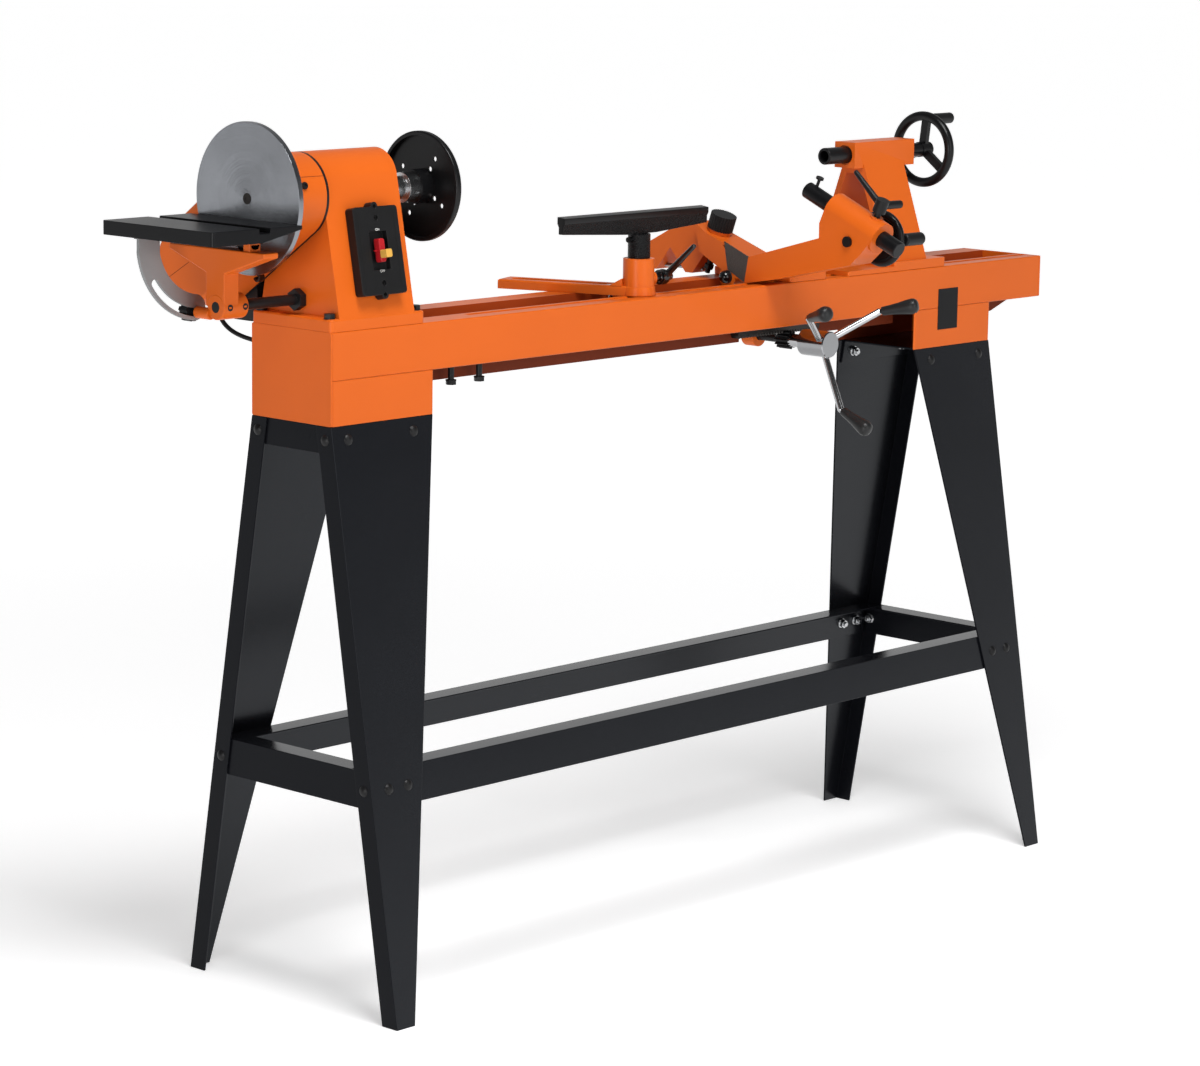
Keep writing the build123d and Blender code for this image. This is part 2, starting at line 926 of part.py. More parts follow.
# Faceplate on the nose
with BuildPart() as faceplate:
    plate_back = faceplate_face_x - faceplate_thick
    bar_x(0, axis_z, faceplate_radius, plate_back, faceplate_face_x)
    fillet(faceplate.edges().filter_by(GeomType.CIRCLE), radius=faceplate_thick / 4)
    rim_inside = faceplate_radius - faceplate_rim
    bar_x(0, axis_z, rim_inside, plate_back, faceplate_face_x - faceplate_web, Mode.SUBTRACT)
    bar_x(0, axis_z, faceplate_hub_radius, nose_x, faceplate_face_x)
    bar_x(0, axis_z, spindle_radius + run_gap, nose_x, faceplate_face_x, Mode.SUBTRACT)
    with BuildSketch(Plane.YZ.offset(plate_back)):
        with Locations((0, axis_z)):
            for circle in (inner_hole_circle, faceplate_hole_circle):
                with PolarLocations(circle, faceplate_holes, start_angle=faceplate_hole_angle):
                    Circle(faceplate_hole_radius)
    extrude(amount=faceplate_thick, mode=Mode.SUBTRACT)
save(faceplate.part, "faceplate")

# Sanding disc with its hub and countersunk screw
with BuildPart() as disc:
    bar_x(0, axis_z, disc_radius, disc_face, disc_back)
    bar_x(0, axis_z, disc_hub_radius, disc_back, cover_left + cover_wall + free_gap)
    bar_x(
        0,
        axis_z,
        spindle_radius + run_gap,
        disc_back - disc_thick / 2,
        cover_left + cover_wall + free_gap,
        Mode.SUBTRACT,
    )
    with Locations(Plane(origin=(disc_face, 0, axis_z), z_dir=(1, 0, 0))):
        Cone(
            disc_screw_radius + run_gap,
            disc_screw_radius / 2 + run_gap,
            disc_thick / 2,
            align=FROM_END,
            mode=Mode.SUBTRACT,
        )
save(disc.part, "sanding_disc")


belt_groove = hypot(belt_width, belt_thick) / 2 + belt_fit


def pulley(y, z, radii):
    """Adds a stepped pulley, its first step nearest the headstock."""
    start = cover_right - free_gap
    for count, radius in enumerate(radii):
        low = start - (count + 1) * pulley_step
        bar_x(y, z, radius, low, low + pulley_step)
        with Locations(Plane(origin=(low + pulley_step / 2, y, z), z_dir=(1, 0, 0))):
            Torus(radius + belt_gap, belt_groove, mode=Mode.SUBTRACT)


belt_x = cover_right - free_gap - (belt_step + 1 / 2) * pulley_step
with BuildPart() as spindle_pulley:
    pulley(0, axis_z, pulley_radii[::-1])
    bar_x(
        0,
        axis_z,
        spindle_radius + run_gap,
        cover_right - free_gap - len(pulley_radii) * pulley_step,
        cover_right - free_gap,
        Mode.SUBTRACT,
    )
save(spindle_pulley.part, "spindle_pulley")

with BuildPart() as motor_pulley:
    pulley(motor_offset_y, motor_z, pulley_radii)
    bar_x(motor_offset_y, motor_z, spindle_radius / 2, cover_right - free_gap, cowl_left + motor_plate_thick)
save(motor_pulley.part, "motor_pulley")


# Round belt on the middle steps, as a closed loop
belt_span = hypot(motor_offset_y, motor_drop)
belt_turn = -degrees(atan2(motor_drop, motor_offset_y))
belt_mid = (motor_offset_y / 2, axis_z - motor_drop / 2)
belt_radius = pulley_radii[belt_step] + belt_gap
with BuildPart() as drive_belt:
    with BuildSketch(Plane.YZ.offset(belt_x - belt_width / 2)):
        with Locations(belt_mid):
            SlotCenterToCenter(belt_span, 2 * belt_radius + belt_thick, rotation=belt_turn)
            SlotCenterToCenter(
                belt_span,
                2 * belt_radius - belt_thick,
                rotation=belt_turn,
                mode=Mode.SUBTRACT,
            )
    extrude(amount=belt_width)
save(drive_belt.part, "drive_belt")

# Belt cover: a pear-shaped pan over both pulleys, open to the motor plate
with BuildPart() as belt_cover:
    for wall, low_x in ((0, cover_left), (cover_wall, cover_left + cover_wall)):
        with BuildSketch(Plane.YZ.offset(low_x)):
            with Locations((0, axis_z)):
                Circle(cover_spindle_radius - wall)
            with Locations((motor_offset_y, motor_z)):
                Circle(cover_motor_radius - wall)
            make_hull()
        extrude(amount=cover_right - low_x, mode=Mode.SUBTRACT if wall else Mode.ADD)
        if not wall:
            fillet(belt_cover.faces().sort_by(Axis.X)[0].edges(), radius=2 * cover_wall)
    bar_x(
        0,
        axis_z,
        disc_hub_radius + free_gap,
        cover_left,
        cover_left + cover_wall,
        Mode.SUBTRACT,
    )
save(belt_cover.part, "belt_cover")

# Motor with its mounting plate, cooling ribs and terminal box
motor_end = cowl_left + motor_length
terminal_z = motor_z - terminal_drop
with BuildPart() as motor:
    with BuildSketch(Plane.YZ.offset(cover_right)):
        with Locations((0, axis_z)):
            Circle(cover_spindle_radius)
        with Locations((motor_offset_y, motor_z)):
            Circle(cover_motor_radius)
        make_hull()
        with Locations((0, axis_z)):
            Circle(spindle_radius + 2 * free_gap, mode=Mode.SUBTRACT)
        with Locations((motor_offset_y, motor_z)):
            Circle(spindle_radius / 2 + free_gap, mode=Mode.SUBTRACT)
    extrude(amount=motor_plate_thick)
    with BuildSketch(Plane.YZ.offset(cowl_left)):
        with Locations((motor_offset_y, motor_z)):
            Circle(motor_radius)
            with PolarLocations(motor_radius, motor_fins):
                Rectangle(2 * motor_fin_height, motor_fin_width)
    extrude(amount=motor_length)
    with BuildSketch(Plane.YZ.offset(cowl_left)):
        with Locations((terminal_y, terminal_z)):
            RectangleRounded(
                terminal_width, terminal_height, terminal_round, align=(Align.MIN, Align.MIN)
            )
    extrude(amount=terminal_length)
    bar_x(
        motor_offset_y,
        motor_z,
        spindle_radius / 2 + free_gap,
        cover_right,
        cowl_left + 2 * motor_plate_thick,
        Mode.SUBTRACT,
    )
save(motor.part, "motor")

# Motor lead from the motor's shell into the rear rail, with a gland at each end
lead_x = cowl_left + terminal_length / 2
lead_z = rail_z + lead_rise
lead_exit = 2 * pi * lead_exit_ribs / motor_fins
lead_way = Vector(0, cos(lead_exit), -sin(lead_exit))
lead_start = Vector(lead_x, motor_offset_y, motor_z) + lead_way * motor_radius
with BuildPart() as motor_lead:
    with BuildLine() as route:
        FilletPolyline(
            lead_start,
            lead_start + lead_way * lead_out,
            (lead_x, lead_turn_y, lead_z),
            (lead_x, half_bed, lead_z),
            radius=lead_bend,
        )
    with BuildSketch(Plane(origin=lead_start, z_dir=lead_way)):
        Circle(lead_radius)
    sweep()
    bar(lead_start, lead_start + lead_way * gland_length, 2 * lead_radius)
    bar_y(lead_x, lead_z, 2 * lead_radius, half_bed, half_bed + gland_length)
save(motor_lead.part, "motor_lead")

# Switch on the sloping front of the cowl
switch_x = (cowl_left + cowl_right) / 2 + base_round
switch_y = -cowl_half + (switch_z - cowl_z) * tan(radians(cowl_lean))
switch_out = Vector(0, -cos(radians(cowl_lean)), sin(radians(cowl_lean)))
switch_face = Plane(origin=(switch_x, switch_y, switch_z), x_dir=(1, 0, 0), z_dir=switch_out)
recess_floor = switch_depth - switch_recess_depth
with BuildPart() as switch_box:
    with BuildSketch(switch_face):
        RectangleRounded(switch_width, switch_height, switch_round)
        with GridLocations(1, switch_height, 1, 2):
            Circle(switch_ear_radius)
    extrude(amount=switch_depth)
    with BuildSketch(switch_face.offset(switch_depth / 2)):
        with GridLocations(1, switch_height, 1, 2):
            Circle(switch_ear_hole)
        with GridLocations(1, switch_screw_pitch, 1, 2):
            Circle(switch_screw_radius)
    extrude(amount=switch_depth / 2, mode=Mode.SUBTRACT)
    with BuildSketch(switch_face.offset(recess_floor)):
        Rectangle(switch_recess_width, switch_recess_height)
    extrude(amount=switch_recess_depth, mode=Mode.SUBTRACT)
save(switch_box.part, "switch_box")

# Rocking paddle on its cross pin
paddle_low = recess_floor + switch_recess_depth / 2
with BuildPart() as paddle:
    with BuildSketch(switch_face.offset(paddle_low)):
        RectangleRounded(paddle_width, paddle_height, switch_round)
    extrude(amount=paddle_depth)
    fillet(paddle.faces().sort_by(Axis.Y)[0].edges(), radius=switch_round / 3)
    pin_centre = switch_face.origin + switch_out * (paddle_low + paddle_depth / 4)
    pin_reach = Vector(switch_recess_width / 2 - slide_gap, 0, 0)
    bar(pin_centre - pin_reach, pin_centre + pin_reach, paddle_depth / 6)
save(paddle.part, "switch_paddle")

# Safety key on the paddle
with BuildPart() as key:
    with BuildSketch(switch_face.offset(paddle_low + paddle_depth)):
        with Locations((0, -paddle_height / 8)):
            RectangleRounded(key_width, key_height, key_width / 4)
    extrude(amount=key_depth)
save(key.part, "switch_key")

# Rod that carries the sanding table, with its hexagon collar
with BuildPart() as table_rod:
    bar_x(0, rod_z, rod_radius, rod_end, cowl_left)
    hexagon((cowl_left, 0, rod_z), (-1, 0, 0), rod_nut_flats, rod_nut_length)
save(table_rod.part, "table_rod")

# Yoke that slides on the rod and carries the table on two trunnions
yoke_left = tilt_x - yoke_thick / 2
arm_top = tilt_z - yoke_lug_radius - 2 * free_gap
arm_low = arm_top - yoke_lug
lug_inner = yoke_lug_y
lug_outer = lug_inner + yoke_lug
boss_face = quadrant_y - slide_gap
with BuildPart() as yoke:
    prism(
        Plane.YZ.offset(yoke_left),
        (
            (-yoke_boss_radius, rod_z),
            (-yoke_boss_radius, rod_z + quadrant_width),
            (-yoke_half_width, arm_low),
            (-yoke_half_width, arm_top),
            (yoke_half_width, arm_top),
            (yoke_half_width, arm_low),
            (boss_face - free_gap, rod_z + quadrant_width),
            (boss_face - free_gap, rod_z),
        ),
        yoke_thick,
    )
    bar_x(0, rod_z, yoke_boss_radius, rod_end, rod_end + yoke_boss_length)
    bar_y(clamp_x, clamp_z, clamp_boss_radius, 0, boss_face)
    for side in (-1, 1):
        block(
            tilt_x - yoke_lug_radius,
            tilt_x + yoke_lug_radius,
            side * lug_inner,
            side * lug_outer,
            arm_low,
            tilt_z,
        )
        bar_y(tilt_x, tilt_z, yoke_lug_radius, side * lug_inner, side * lug_outer)
        bar_y(
            tilt_x,
            tilt_z,
            trunnion_radius,
            side * (lug_inner - yoke_lug),
            side * lug_inner,
        )
    bar_x(0, rod_z, rod_radius + run_gap, rod_end, rod_end + yoke_boss_length, Mode.SUBTRACT)
    for place_x in (rod_end + set_screw_inset, rod_end + yoke_boss_length - set_screw_inset):
        bar_y(place_x, rod_z, set_screw_radius, -yoke_boss_radius, 0, Mode.SUBTRACT)
save(yoke.part, "table_yoke")

# Sanding table with its mitre slot, bevelled to the disc
with BuildPart() as table:
    block(
        table_left, table_right, -table_width / 2, table_width / 2, table_under, table_top_z
    )
    fillet(table.edges().filter_by(Axis.Z).group_by(Axis.X)[0], radius=switch_round)
    prism(
        Plane.XZ.offset(-table_width / 2),
        (
            (table_right - table_bevel, table_under),
            (table_right, table_under),
            (table_right, table_top_z - table_edge),
        ),
        table_width,
        Mode.SUBTRACT,
    )
    mitre_x = table_right - mitre_offset
    block(
        mitre_x - mitre_width / 2,
        mitre_x + mitre_width / 2,
        -table_width / 2,
        table_width / 2,
        table_top_z - mitre_depth,
        table_top_z,
        Mode.SUBTRACT,
    )
    for side in (-1, 1):
        lug_low = side * (lug_inner - yoke_lug)
        lug_high = side * (lug_inner - slide_gap)
        block(
            tilt_x - yoke_lug_radius,
            tilt_x + yoke_lug_radius,
            lug_low,
            lug_high,
            tilt_z,
            table_top_z - mitre_depth - table_edge,
        )
        bar_y(tilt_x, tilt_z, yoke_lug_radius, lug_low, lug_high)
        bar_y(tilt_x, tilt_z, trunnion_radius + run_gap, lug_low, lug_high, Mode.SUBTRACT)
save(table.part, "sanding_table")

# Slotted quadrant that hangs under the table's outer edge
quadrant_far = quadrant_y + quadrant_thick
with BuildPart() as quadrant:
    with BuildSketch(Plane.XZ.offset(-quadrant_far)):
        with BuildLine(mode=Mode.PRIVATE) as middle:
            CenterArc(
                (tilt_x, tilt_z),
                quadrant_radius,
                quadrant_start,
                quadrant_end - quadrant_start,
            )
        SlotArc(middle.line.edge(), quadrant_width)
        with BuildLine(mode=Mode.PRIVATE) as way:
            CenterArc((tilt_x, tilt_z), slot_radius, slot_start, clamp_angle + 1 - slot_start)
        SlotArc(way.line.edge(), quadrant_slot, mode=Mode.SUBTRACT)
    extrude(amount=quadrant_thick)
    tab_x = tilt_x - quadrant_radius
    block(
        tab_x - quadrant_width / 3,
        tab_x + quadrant_width / 3,
        quadrant_y,
        quadrant_far,
        tilt_z,
        table_under,
    )
    block(
        tab_x - quadrant_width / 3,
        tab_x + quadrant_width / 3,
        quadrant_y,
        quadrant_far + quadrant_slot,
        table_under - quadrant_thick / 2,
        table_under,
    )
save(quadrant.part, "tilt_quadrant")

# Knob that locks the quadrant
with BuildPart() as quadrant_knob:
    bar_y(clamp_x, clamp_z, clamp_bolt_radius, boss_face, quadrant_far + clamp_knob_length)
    with BuildSketch(Plane.XZ.offset(-quadrant_far - slide_gap)):
        with Locations((clamp_x, clamp_z)):
            Circle(clamp_knob_radius)
            with PolarLocations(clamp_knob_radius, clamp_flutes):
                Circle(clamp_flute_radius, mode=Mode.SUBTRACT)
    extrude(amount=-clamp_knob_length)
save(quadrant_knob.part, "quadrant_knob")

# Clamp of the banjo: plate under the rails, bolt, and a nut under the plate
banjo_plane = Plane(origin=(rest_x, rest_y, banjo_z), x_dir=banjo_axis, z_dir=(0, 0, 1))
bolt_x = rest_x + banjo_axis.X * clamp_at
banjo_top = banjo_z + banjo_thick
plate_top = bed_z - rail_lip - slide_gap
with BuildPart() as banjo_clamp:
    block(
        bolt_x - clamp_plate_length / 2,
        bolt_x + clamp_plate_length / 2,
        -clamp_plate_width / 2,
        clamp_plate_width / 2,
        plate_top - clamp_plate_thick,
        plate_top,
    )
    plate_under = plate_top - clamp_plate_thick
    bar_z(bolt_x, 0, clamp_bolt, plate_top, banjo_top - free_gap)
    bolt((bolt_x, 0, plate_under), (0, 0, -1))
save(banjo_clamp.part, "banjo_clamp")

# Shoe that turns on the clamp bolt and slides in the banjo's stepped slot
with BuildPart() as shoe:
    with BuildSketch(banjo_plane):
        with Locations((clamp_at, 0)):
            Rectangle(shoe_length, banjo_slot - 2 * slide_gap)
    extrude(amount=banjo_ledge + shoe_head_thick)
    with BuildSketch(banjo_plane.offset(banjo_ledge + slide_gap)):
        with Locations((clamp_at, 0)):
            Rectangle(shoe_length, shoe_head - 2 * slide_gap)
    extrude(amount=shoe_head_thick)
    bar_z(bolt_x, 0, clamp_bolt + run_gap, banjo_z, banjo_top, Mode.SUBTRACT)
save(shoe.part, "banjo_shoe")

# Banjo: slotted arm across the bed with the post boss at its front
lever_z = banjo_z + boss_height / 2 - lever_drop
pad_x = rest_x + boss_radius + base_round
with BuildPart() as banjo:
    with BuildSketch(banjo_plane):
        Circle(banjo_width / 2)
        Rectangle(banjo_reach, banjo_width, align=(Align.MIN, Align.CENTER))
    extrude(amount=banjo_thick)
    fillet(banjo.faces().sort_by(Axis.Z)[-1].edges(), radius=base_round / 2)
    with BuildSketch(banjo_plane):
        with Locations(((banjo_slot_start + banjo_slot_end) / 2, 0)):
            SlotOverall(banjo_slot_end - banjo_slot_start, banjo_slot)
    extrude(amount=banjo_thick, mode=Mode.SUBTRACT)
    ledge_length = banjo_slot_end - banjo_slot_start + shoe_head - banjo_slot
    with BuildSketch(banjo_plane.offset(banjo_ledge)):
        with Locations(((banjo_slot_start + banjo_slot_end) / 2, 0)):
            SlotOverall(ledge_length, shoe_head)
    extrude(amount=banjo_thick, mode=Mode.SUBTRACT)
    bar_z(rest_x, rest_y, boss_radius, banjo_z, boss_top)
    bar_x(rest_y, lever_z, lever_hub_radius, rest_x, pad_x)
    bar_z(rest_x, rest_y, rest_post_radius + run_gap, banjo_z, boss_top, Mode.SUBTRACT)
save(banjo.part, "banjo")

# Collar that sets the height of the rest
rest_under = rest_top_z - rest_mid_height
screw_z = rest_under - 2 * rest_screw_radius
with BuildPart() as collar:
    bar_z(rest_x, rest_y, rest_collar_radius, boss_top + slide_gap, rest_under - slide_gap)
    bar_x(
        rest_y,
        screw_z,
        rest_screw_radius,
        rest_x - rest_collar_radius - rest_screw_length,
        rest_x,
    )
    bar_z(
        rest_x,
        rest_y,
        rest_post_radius + run_gap,
        boss_top + slide_gap,
        rest_under - slide_gap,
        Mode.SUBTRACT,
    )
save(collar.part, "rest_collar")

# Tool rest: a bar with a belly, a sloping top and a lip over its web, on its post
rest_low = rest_x - rest_shift - rest_length / 2
rest_high = rest_low + rest_length
with BuildPart() as tool_rest:
    with BuildSketch(Plane.XZ.offset(-rest_y)):
        Polygon(
            (rest_low, rest_top_z),
            (rest_high, rest_top_z),
            (rest_high, rest_top_z - rest_end_height),
            (rest_x + 2 * rest_collar_radius, rest_under),
            (rest_x - 2 * rest_collar_radius, rest_under),
            (rest_low, rest_top_z - rest_end_height),
            align=None,
        )
    extrude(amount=rest_top_depth, both=True)
    lip_z = rest_top_z - rest_lip
    with BuildSketch(Plane.YZ.offset(rest_low)):
        Polygon(
            (rest_y - rest_top_depth / 2, rest_top_z - rest_drop),
            (rest_y + rest_top_depth / 2, rest_top_z),
            (rest_y + rest_top_depth / 2, lip_z),
            (rest_y + rest_web / 2, lip_z - rest_cove),
            (rest_y + rest_web / 2, rest_under),
            (rest_y - rest_web / 2, rest_under),
            (rest_y - rest_web / 2, lip_z - rest_cove),
            (rest_y - rest_top_depth / 2, lip_z),
            align=None,
        )
    extrude(amount=rest_length, mode=Mode.INTERSECT)
    bar_z(rest_x, rest_y, rest_post_radius, banjo_z + free_gap, rest_under)
save(tool_rest.part, "tool_rest")

# Lever that pinches the post
lever_way = Vector(0, -cos(radians(lever_rise)), sin(radians(lever_rise)))
hub_x = pad_x + lever_neck
with BuildPart() as rest_lever:
    bar_x(rest_y, lever_z, lever_neck_radius, pad_x, hub_x)
    bar_x(rest_y, lever_z, lever_hub_radius, hub_x, hub_x + lever_hub_length)
    lever_root = Vector(hub_x + lever_hub_length / 2, rest_y, lever_z)
    taper(lever_root, lever_root + lever_way * lever_arm, lever_arm_radius, lever_tip_radius)
save(rest_lever.part, "rest_lever")


# Saddle of the copying carriage, with its tongue and the apron below the bed
saddle_end = saddle_x + saddle_length
saddle_top = saddle_z + saddle_thick
tongue_half = rail_inner - slide_gap
tongue_z = bed_z - saddle_tongue
apron_back = apron_boss_front + apron_boss_length
with BuildPart() as saddle:
    block(saddle_x, saddle_end, -half_bed, half_bed, saddle_z, saddle_top)
    fillet(saddle.edges().filter_by(Axis.Z), radius=base_round)
    block(saddle_x, saddle_end, -tongue_half, tongue_half, tongue_z, saddle_z)
    bar_x(pivot_y, pivot_z, pivot_boss_radius, saddle_x, saddle_end)
    block(
        capstan_x - apron_half,
        capstan_x + apron_half,
        apron_boss_front,
        apron_back,
        capstan_z,
        tongue_z,
    )
    bar_y(capstan_x, capstan_z, apron_boss_radius, apron_boss_front, apron_back)
    bar_y(
        capstan_x,
        capstan_z,
        capstan_shaft_radius + run_gap,
        apron_boss_front,
        apron_back,
        Mode.SUBTRACT,
    )
    bar_x(pivot_y, pivot_z, pivot_radius + run_gap, saddle_x, saddle_end, Mode.SUBTRACT)
save(saddle.part, "carriage_saddle")

# Pin that the copying arm rocks on
with BuildPart() as pivot_pin:
    bar_x(pivot_y, pivot_z, pivot_radius, arm_x - slide_gap, saddle_end)
    dome((arm_x - slide_gap, pivot_y, pivot_z), (-1, 0, 0), pivot_cap_radius, dome_height)
save(pivot_pin.part, "pivot_pin")

# Heights of the arm's side view
arm_slope = tan(radians(knob_tilt))
valley_z = bed_z + valley_rise
hump_z = valley_z + (hump_y - valley_y) * arm_slope
crest_z = hump_z + crest_step
plate_front_z = bed_z + plate_front_rise
plate_bend_z = bed_z + plate_bend_rise
plate_rear_z = bed_z + plate_rear_rise
foot_z = bed_z + foot_rise
notch_z = bed_z + notch_rise
arm_root_z = bed_z + slide_gap
arm_bend_z = bed_z + arm_bend_rise
arm_nose_z = bed_z + arm_nose_rise
recess_top_z = valley_z + (recess_top_y - valley_y) * arm_slope - recess_edge
sleeve_low = sleeve_radius * cos(radians(bar_tilt))
sleeve_side = sleeve_radius * sin(radians(bar_tilt))
front_axis = bar_origin - bar_way * sleeve_length
knob_base_z = valley_z + (knob_y - valley_y) * arm_slope
knob_x = arm_x + arm_width / 2
knob_way = Vector(0, -sin(radians(knob_tilt)), cos(radians(knob_tilt)))
knob_base = Vector(knob_x, knob_y, knob_base_z)
knob_boss_top = knob_base + knob_way * base_round
foot_end_z = bed_z + stop_gap + knob_foot_radius * sin(radians(knob_tilt))
screw_reach = (knob_base_z - foot_end_z) / cos(radians(knob_tilt))
tracer_z = foot_z + 2 * tracer_radius
plate_x = arm_x + rear_plate_inset
tracer_x = (plate_x + arm_far) / 2
feed_plane = Plane(origin=feed_centre, x_dir=bar_way, z_dir=(1, 0, 0))
bar_plane = Plane(origin=bar_origin, x_dir=bar_way, z_dir=(1, 0, 0))
lever_station = bar_origin - bar_way * head_lever_back
gear_tip = feed_pitch_radius + feed_module * tooth_addendum

# Copying arm: rocking casting with the tool sleeve in front and two feet behind
with BuildPart() as copy_arm:
    prism(
        Plane.YZ.offset(plate_x),
        (
            (plate_front_y, plate_front_z),
            (notch_front_y, notch_z),
            (mid_foot_y - foot_half, foot_z),
            (mid_foot_y + foot_half, foot_z),
            (notch_rear_y, notch_z),
            (rear_foot_y - foot_half, foot_z),
            (rear_foot_y + foot_half, foot_z),
            (plate_rear_y, plate_rear_z),
            (plate_bend_y, plate_bend_z),
            (crest_y, crest_z),
            (hump_y, hump_z),
        ),
        arm_far - plate_x,
    )
    prism(
        Plane.YZ.offset(arm_x),
        (
            (valley_y, valley_z),
            (hump_y, hump_z),
            (crest_y, crest_z),
            (notch_front_y, notch_z),
            (plate_front_y, plate_front_z),
            (arm_root_y, arm_root_z),
        ),
        arm_width,
    )
    prism(
        Plane.YZ.offset(arm_x),
        (
            (arm_root_y, arm_root_z),
            (arm_bend_y, arm_bend_z),
            (arm_nose_y, arm_nose_z),
            (front_axis.Y + 2 * sleeve_side, front_axis.Z - sleeve_low),
            (front_axis.Y, front_axis.Z),
            (bar_origin.Y, bar_origin.Z),
            (bar_origin.Y + sleeve_side, bar_origin.Z - sleeve_low),
            (bar_origin.Y + sleeve_side, bar_origin.Z - 2 * sleeve_low),
            (valley_y, valley_z),
        ),
        2 * sleeve_radius,
    )
    bar(bar_origin, front_axis, sleeve_radius)
    bar(knob_base - knob_way * base_round, knob_boss_top, 2 * knob_screw_radius + arm_wall)
    prism(
        Plane.YZ.offset(arm_x),
        (
            (recess_low_y, arm_root_z + recess_edge),
            (recess_top_y, recess_top_z),
            (valley_y + recess_edge, valley_z - recess_edge),
        ),
        recess_depth,
        Mode.SUBTRACT,
    )
    bar_x(pivot_y, pivot_z, pivot_boss_radius, arm_x, saddle_x - slide_gap)
    bar_x(pivot_y, pivot_z, pivot_radius + run_gap, arm_x, saddle_x, Mode.SUBTRACT)
    bar(
        lever_station,
        lever_station + bar_up * (sleeve_radius + free_gap),
        head_lever_radius,
    )
    bar(bar_origin, front_axis, bar_radius + run_gap, Mode.SUBTRACT)
    bar_x(
        feed_centre.Y, feed_centre.Z, feed_shaft_radius + run_gap, arm_x, arm_far, Mode.SUBTRACT
    )
    bar_x(
        feed_centre.Y,
        feed_centre.Z,
        gear_tip + free_gap,
        arm_mid - feed_gear_width / 2 - free_gap,
        arm_mid + feed_gear_width / 2 + free_gap,
        Mode.SUBTRACT,
    )
    bar(
        knob_boss_top,
        knob_base - knob_way * screw_reach,
        knob_screw_radius + 4 * slide_gap,
        Mode.SUBTRACT,
    )
    bar_y(
        tracer_x,
        tracer_z,
        tracer_radius + run_gap,
        mid_foot_y - 2 * foot_half,
        rear_foot_y + 2 * foot_half,
        Mode.SUBTRACT,
    )
save(copy_arm.part, "copy_arm")

# Depth stop: knurled knob, screw and foot that lands on the rear rail
with BuildPart() as depth_knob:
    knob_low = knob_boss_top + knob_way * slide_gap
    with BuildSketch(Plane(origin=knob_low, z_dir=knob_way)):
        Circle(knob_radius)
        with PolarLocations(knob_radius, knob_flutes):
            Circle(knob_flute_radius, mode=Mode.SUBTRACT)
    extrude(amount=knob_height)
    nut_low = knob_base - knob_way * (screw_reach - 2 * jam_nut)
    bar(nut_low - knob_way * jam_nut, knob_low, knob_screw_radius)
    bar(knob_base - knob_way * screw_reach, nut_low, knob_foot_radius)
    hexagon(nut_low - knob_way * jam_nut, knob_way, bolt_flats, jam_nut)
save(depth_knob.part, "depth_knob")

# Tracer pin through the two rear feet
with BuildPart() as tracer_pin:
    rear_face = rear_foot_y + foot_half + free_gap
    bar_y(tracer_x, tracer_z, tracer_radius, mid_foot_y - 2 * foot_half, rear_face)
    bar_y(tracer_x, tracer_z, tracer_head_radius, rear_face, rear_face + tracer_head)
save(tracer_pin.part, "tracer_pin")

# Tool bar with its rack and thumb screw
feed_pitch = pi * feed_module
space_half = (feed_pitch + tooth_backlash) / 4
space_lean = feed_module * tan(radians(pressure_angle))
space_mouth = feed_pitch_line + 2 * feed_module
space_root = feed_pitch_line - feed_module * tooth_dedendum
mouth_half = space_half + 2 * space_lean
root_half = space_half - space_lean * tooth_dedendum
with BuildPart() as tool_bar:
    bar_rear = bar_origin + bar_way * bar_rear_reach
    bar(bar_rear, bar_rear - bar_way * bar_length, bar_radius)
    chamfer(tool_bar.edges().filter_by(GeomType.CIRCLE), length=free_gap)
    with BuildSketch(bar_plane):
        with Locations((-feed_back, 0)):
            with GridLocations(feed_pitch, 1, bar_teeth, 1):
                Polygon(
                    (-mouth_half, -space_mouth),
                    (mouth_half, -space_mouth),
                    (root_half, -space_root),
                    (-root_half, -space_root),
                    align=None,
                )
    extrude(amount=bar_radius, both=True, mode=Mode.SUBTRACT)
    screw_foot = bar_rear - bar_way * bar_screw_inset
    screw_top = screw_foot + bar_up * (bar_radius + bar_screw_height)
    bar(screw_foot, screw_top, bar_screw_radius)
    bar(screw_top, screw_top + bar_up * bar_screw_head, bar_screw_head_radius)
save(tool_bar.part, "tool_bar")

# Lever that locks the tool bar
with BuildPart() as head_lever:
    lever_seat = lever_station + bar_up * (sleeve_radius + free_gap)
    lever_low = lever_seat + bar_up * head_screw_height
    lever_mid = lever_low + bar_up * head_lever_height / 2
    bar(lever_seat, lever_low, head_screw_radius)
    bar(lever_low, lever_low + bar_up * head_lever_height, head_lever_radius)
    rise = radians(head_lever_rise)
    lever_end = lever_mid + (bar_way * cos(rise) + bar_up * sin(rise)) * head_lever_arm
    taper(lever_mid, lever_end, head_lever_root, head_lever_tip)
    bar(lever_mid, lever_mid + Vector(head_pin_length, 0, 0), head_pin_radius)
save(head_lever.part, "head_lever")

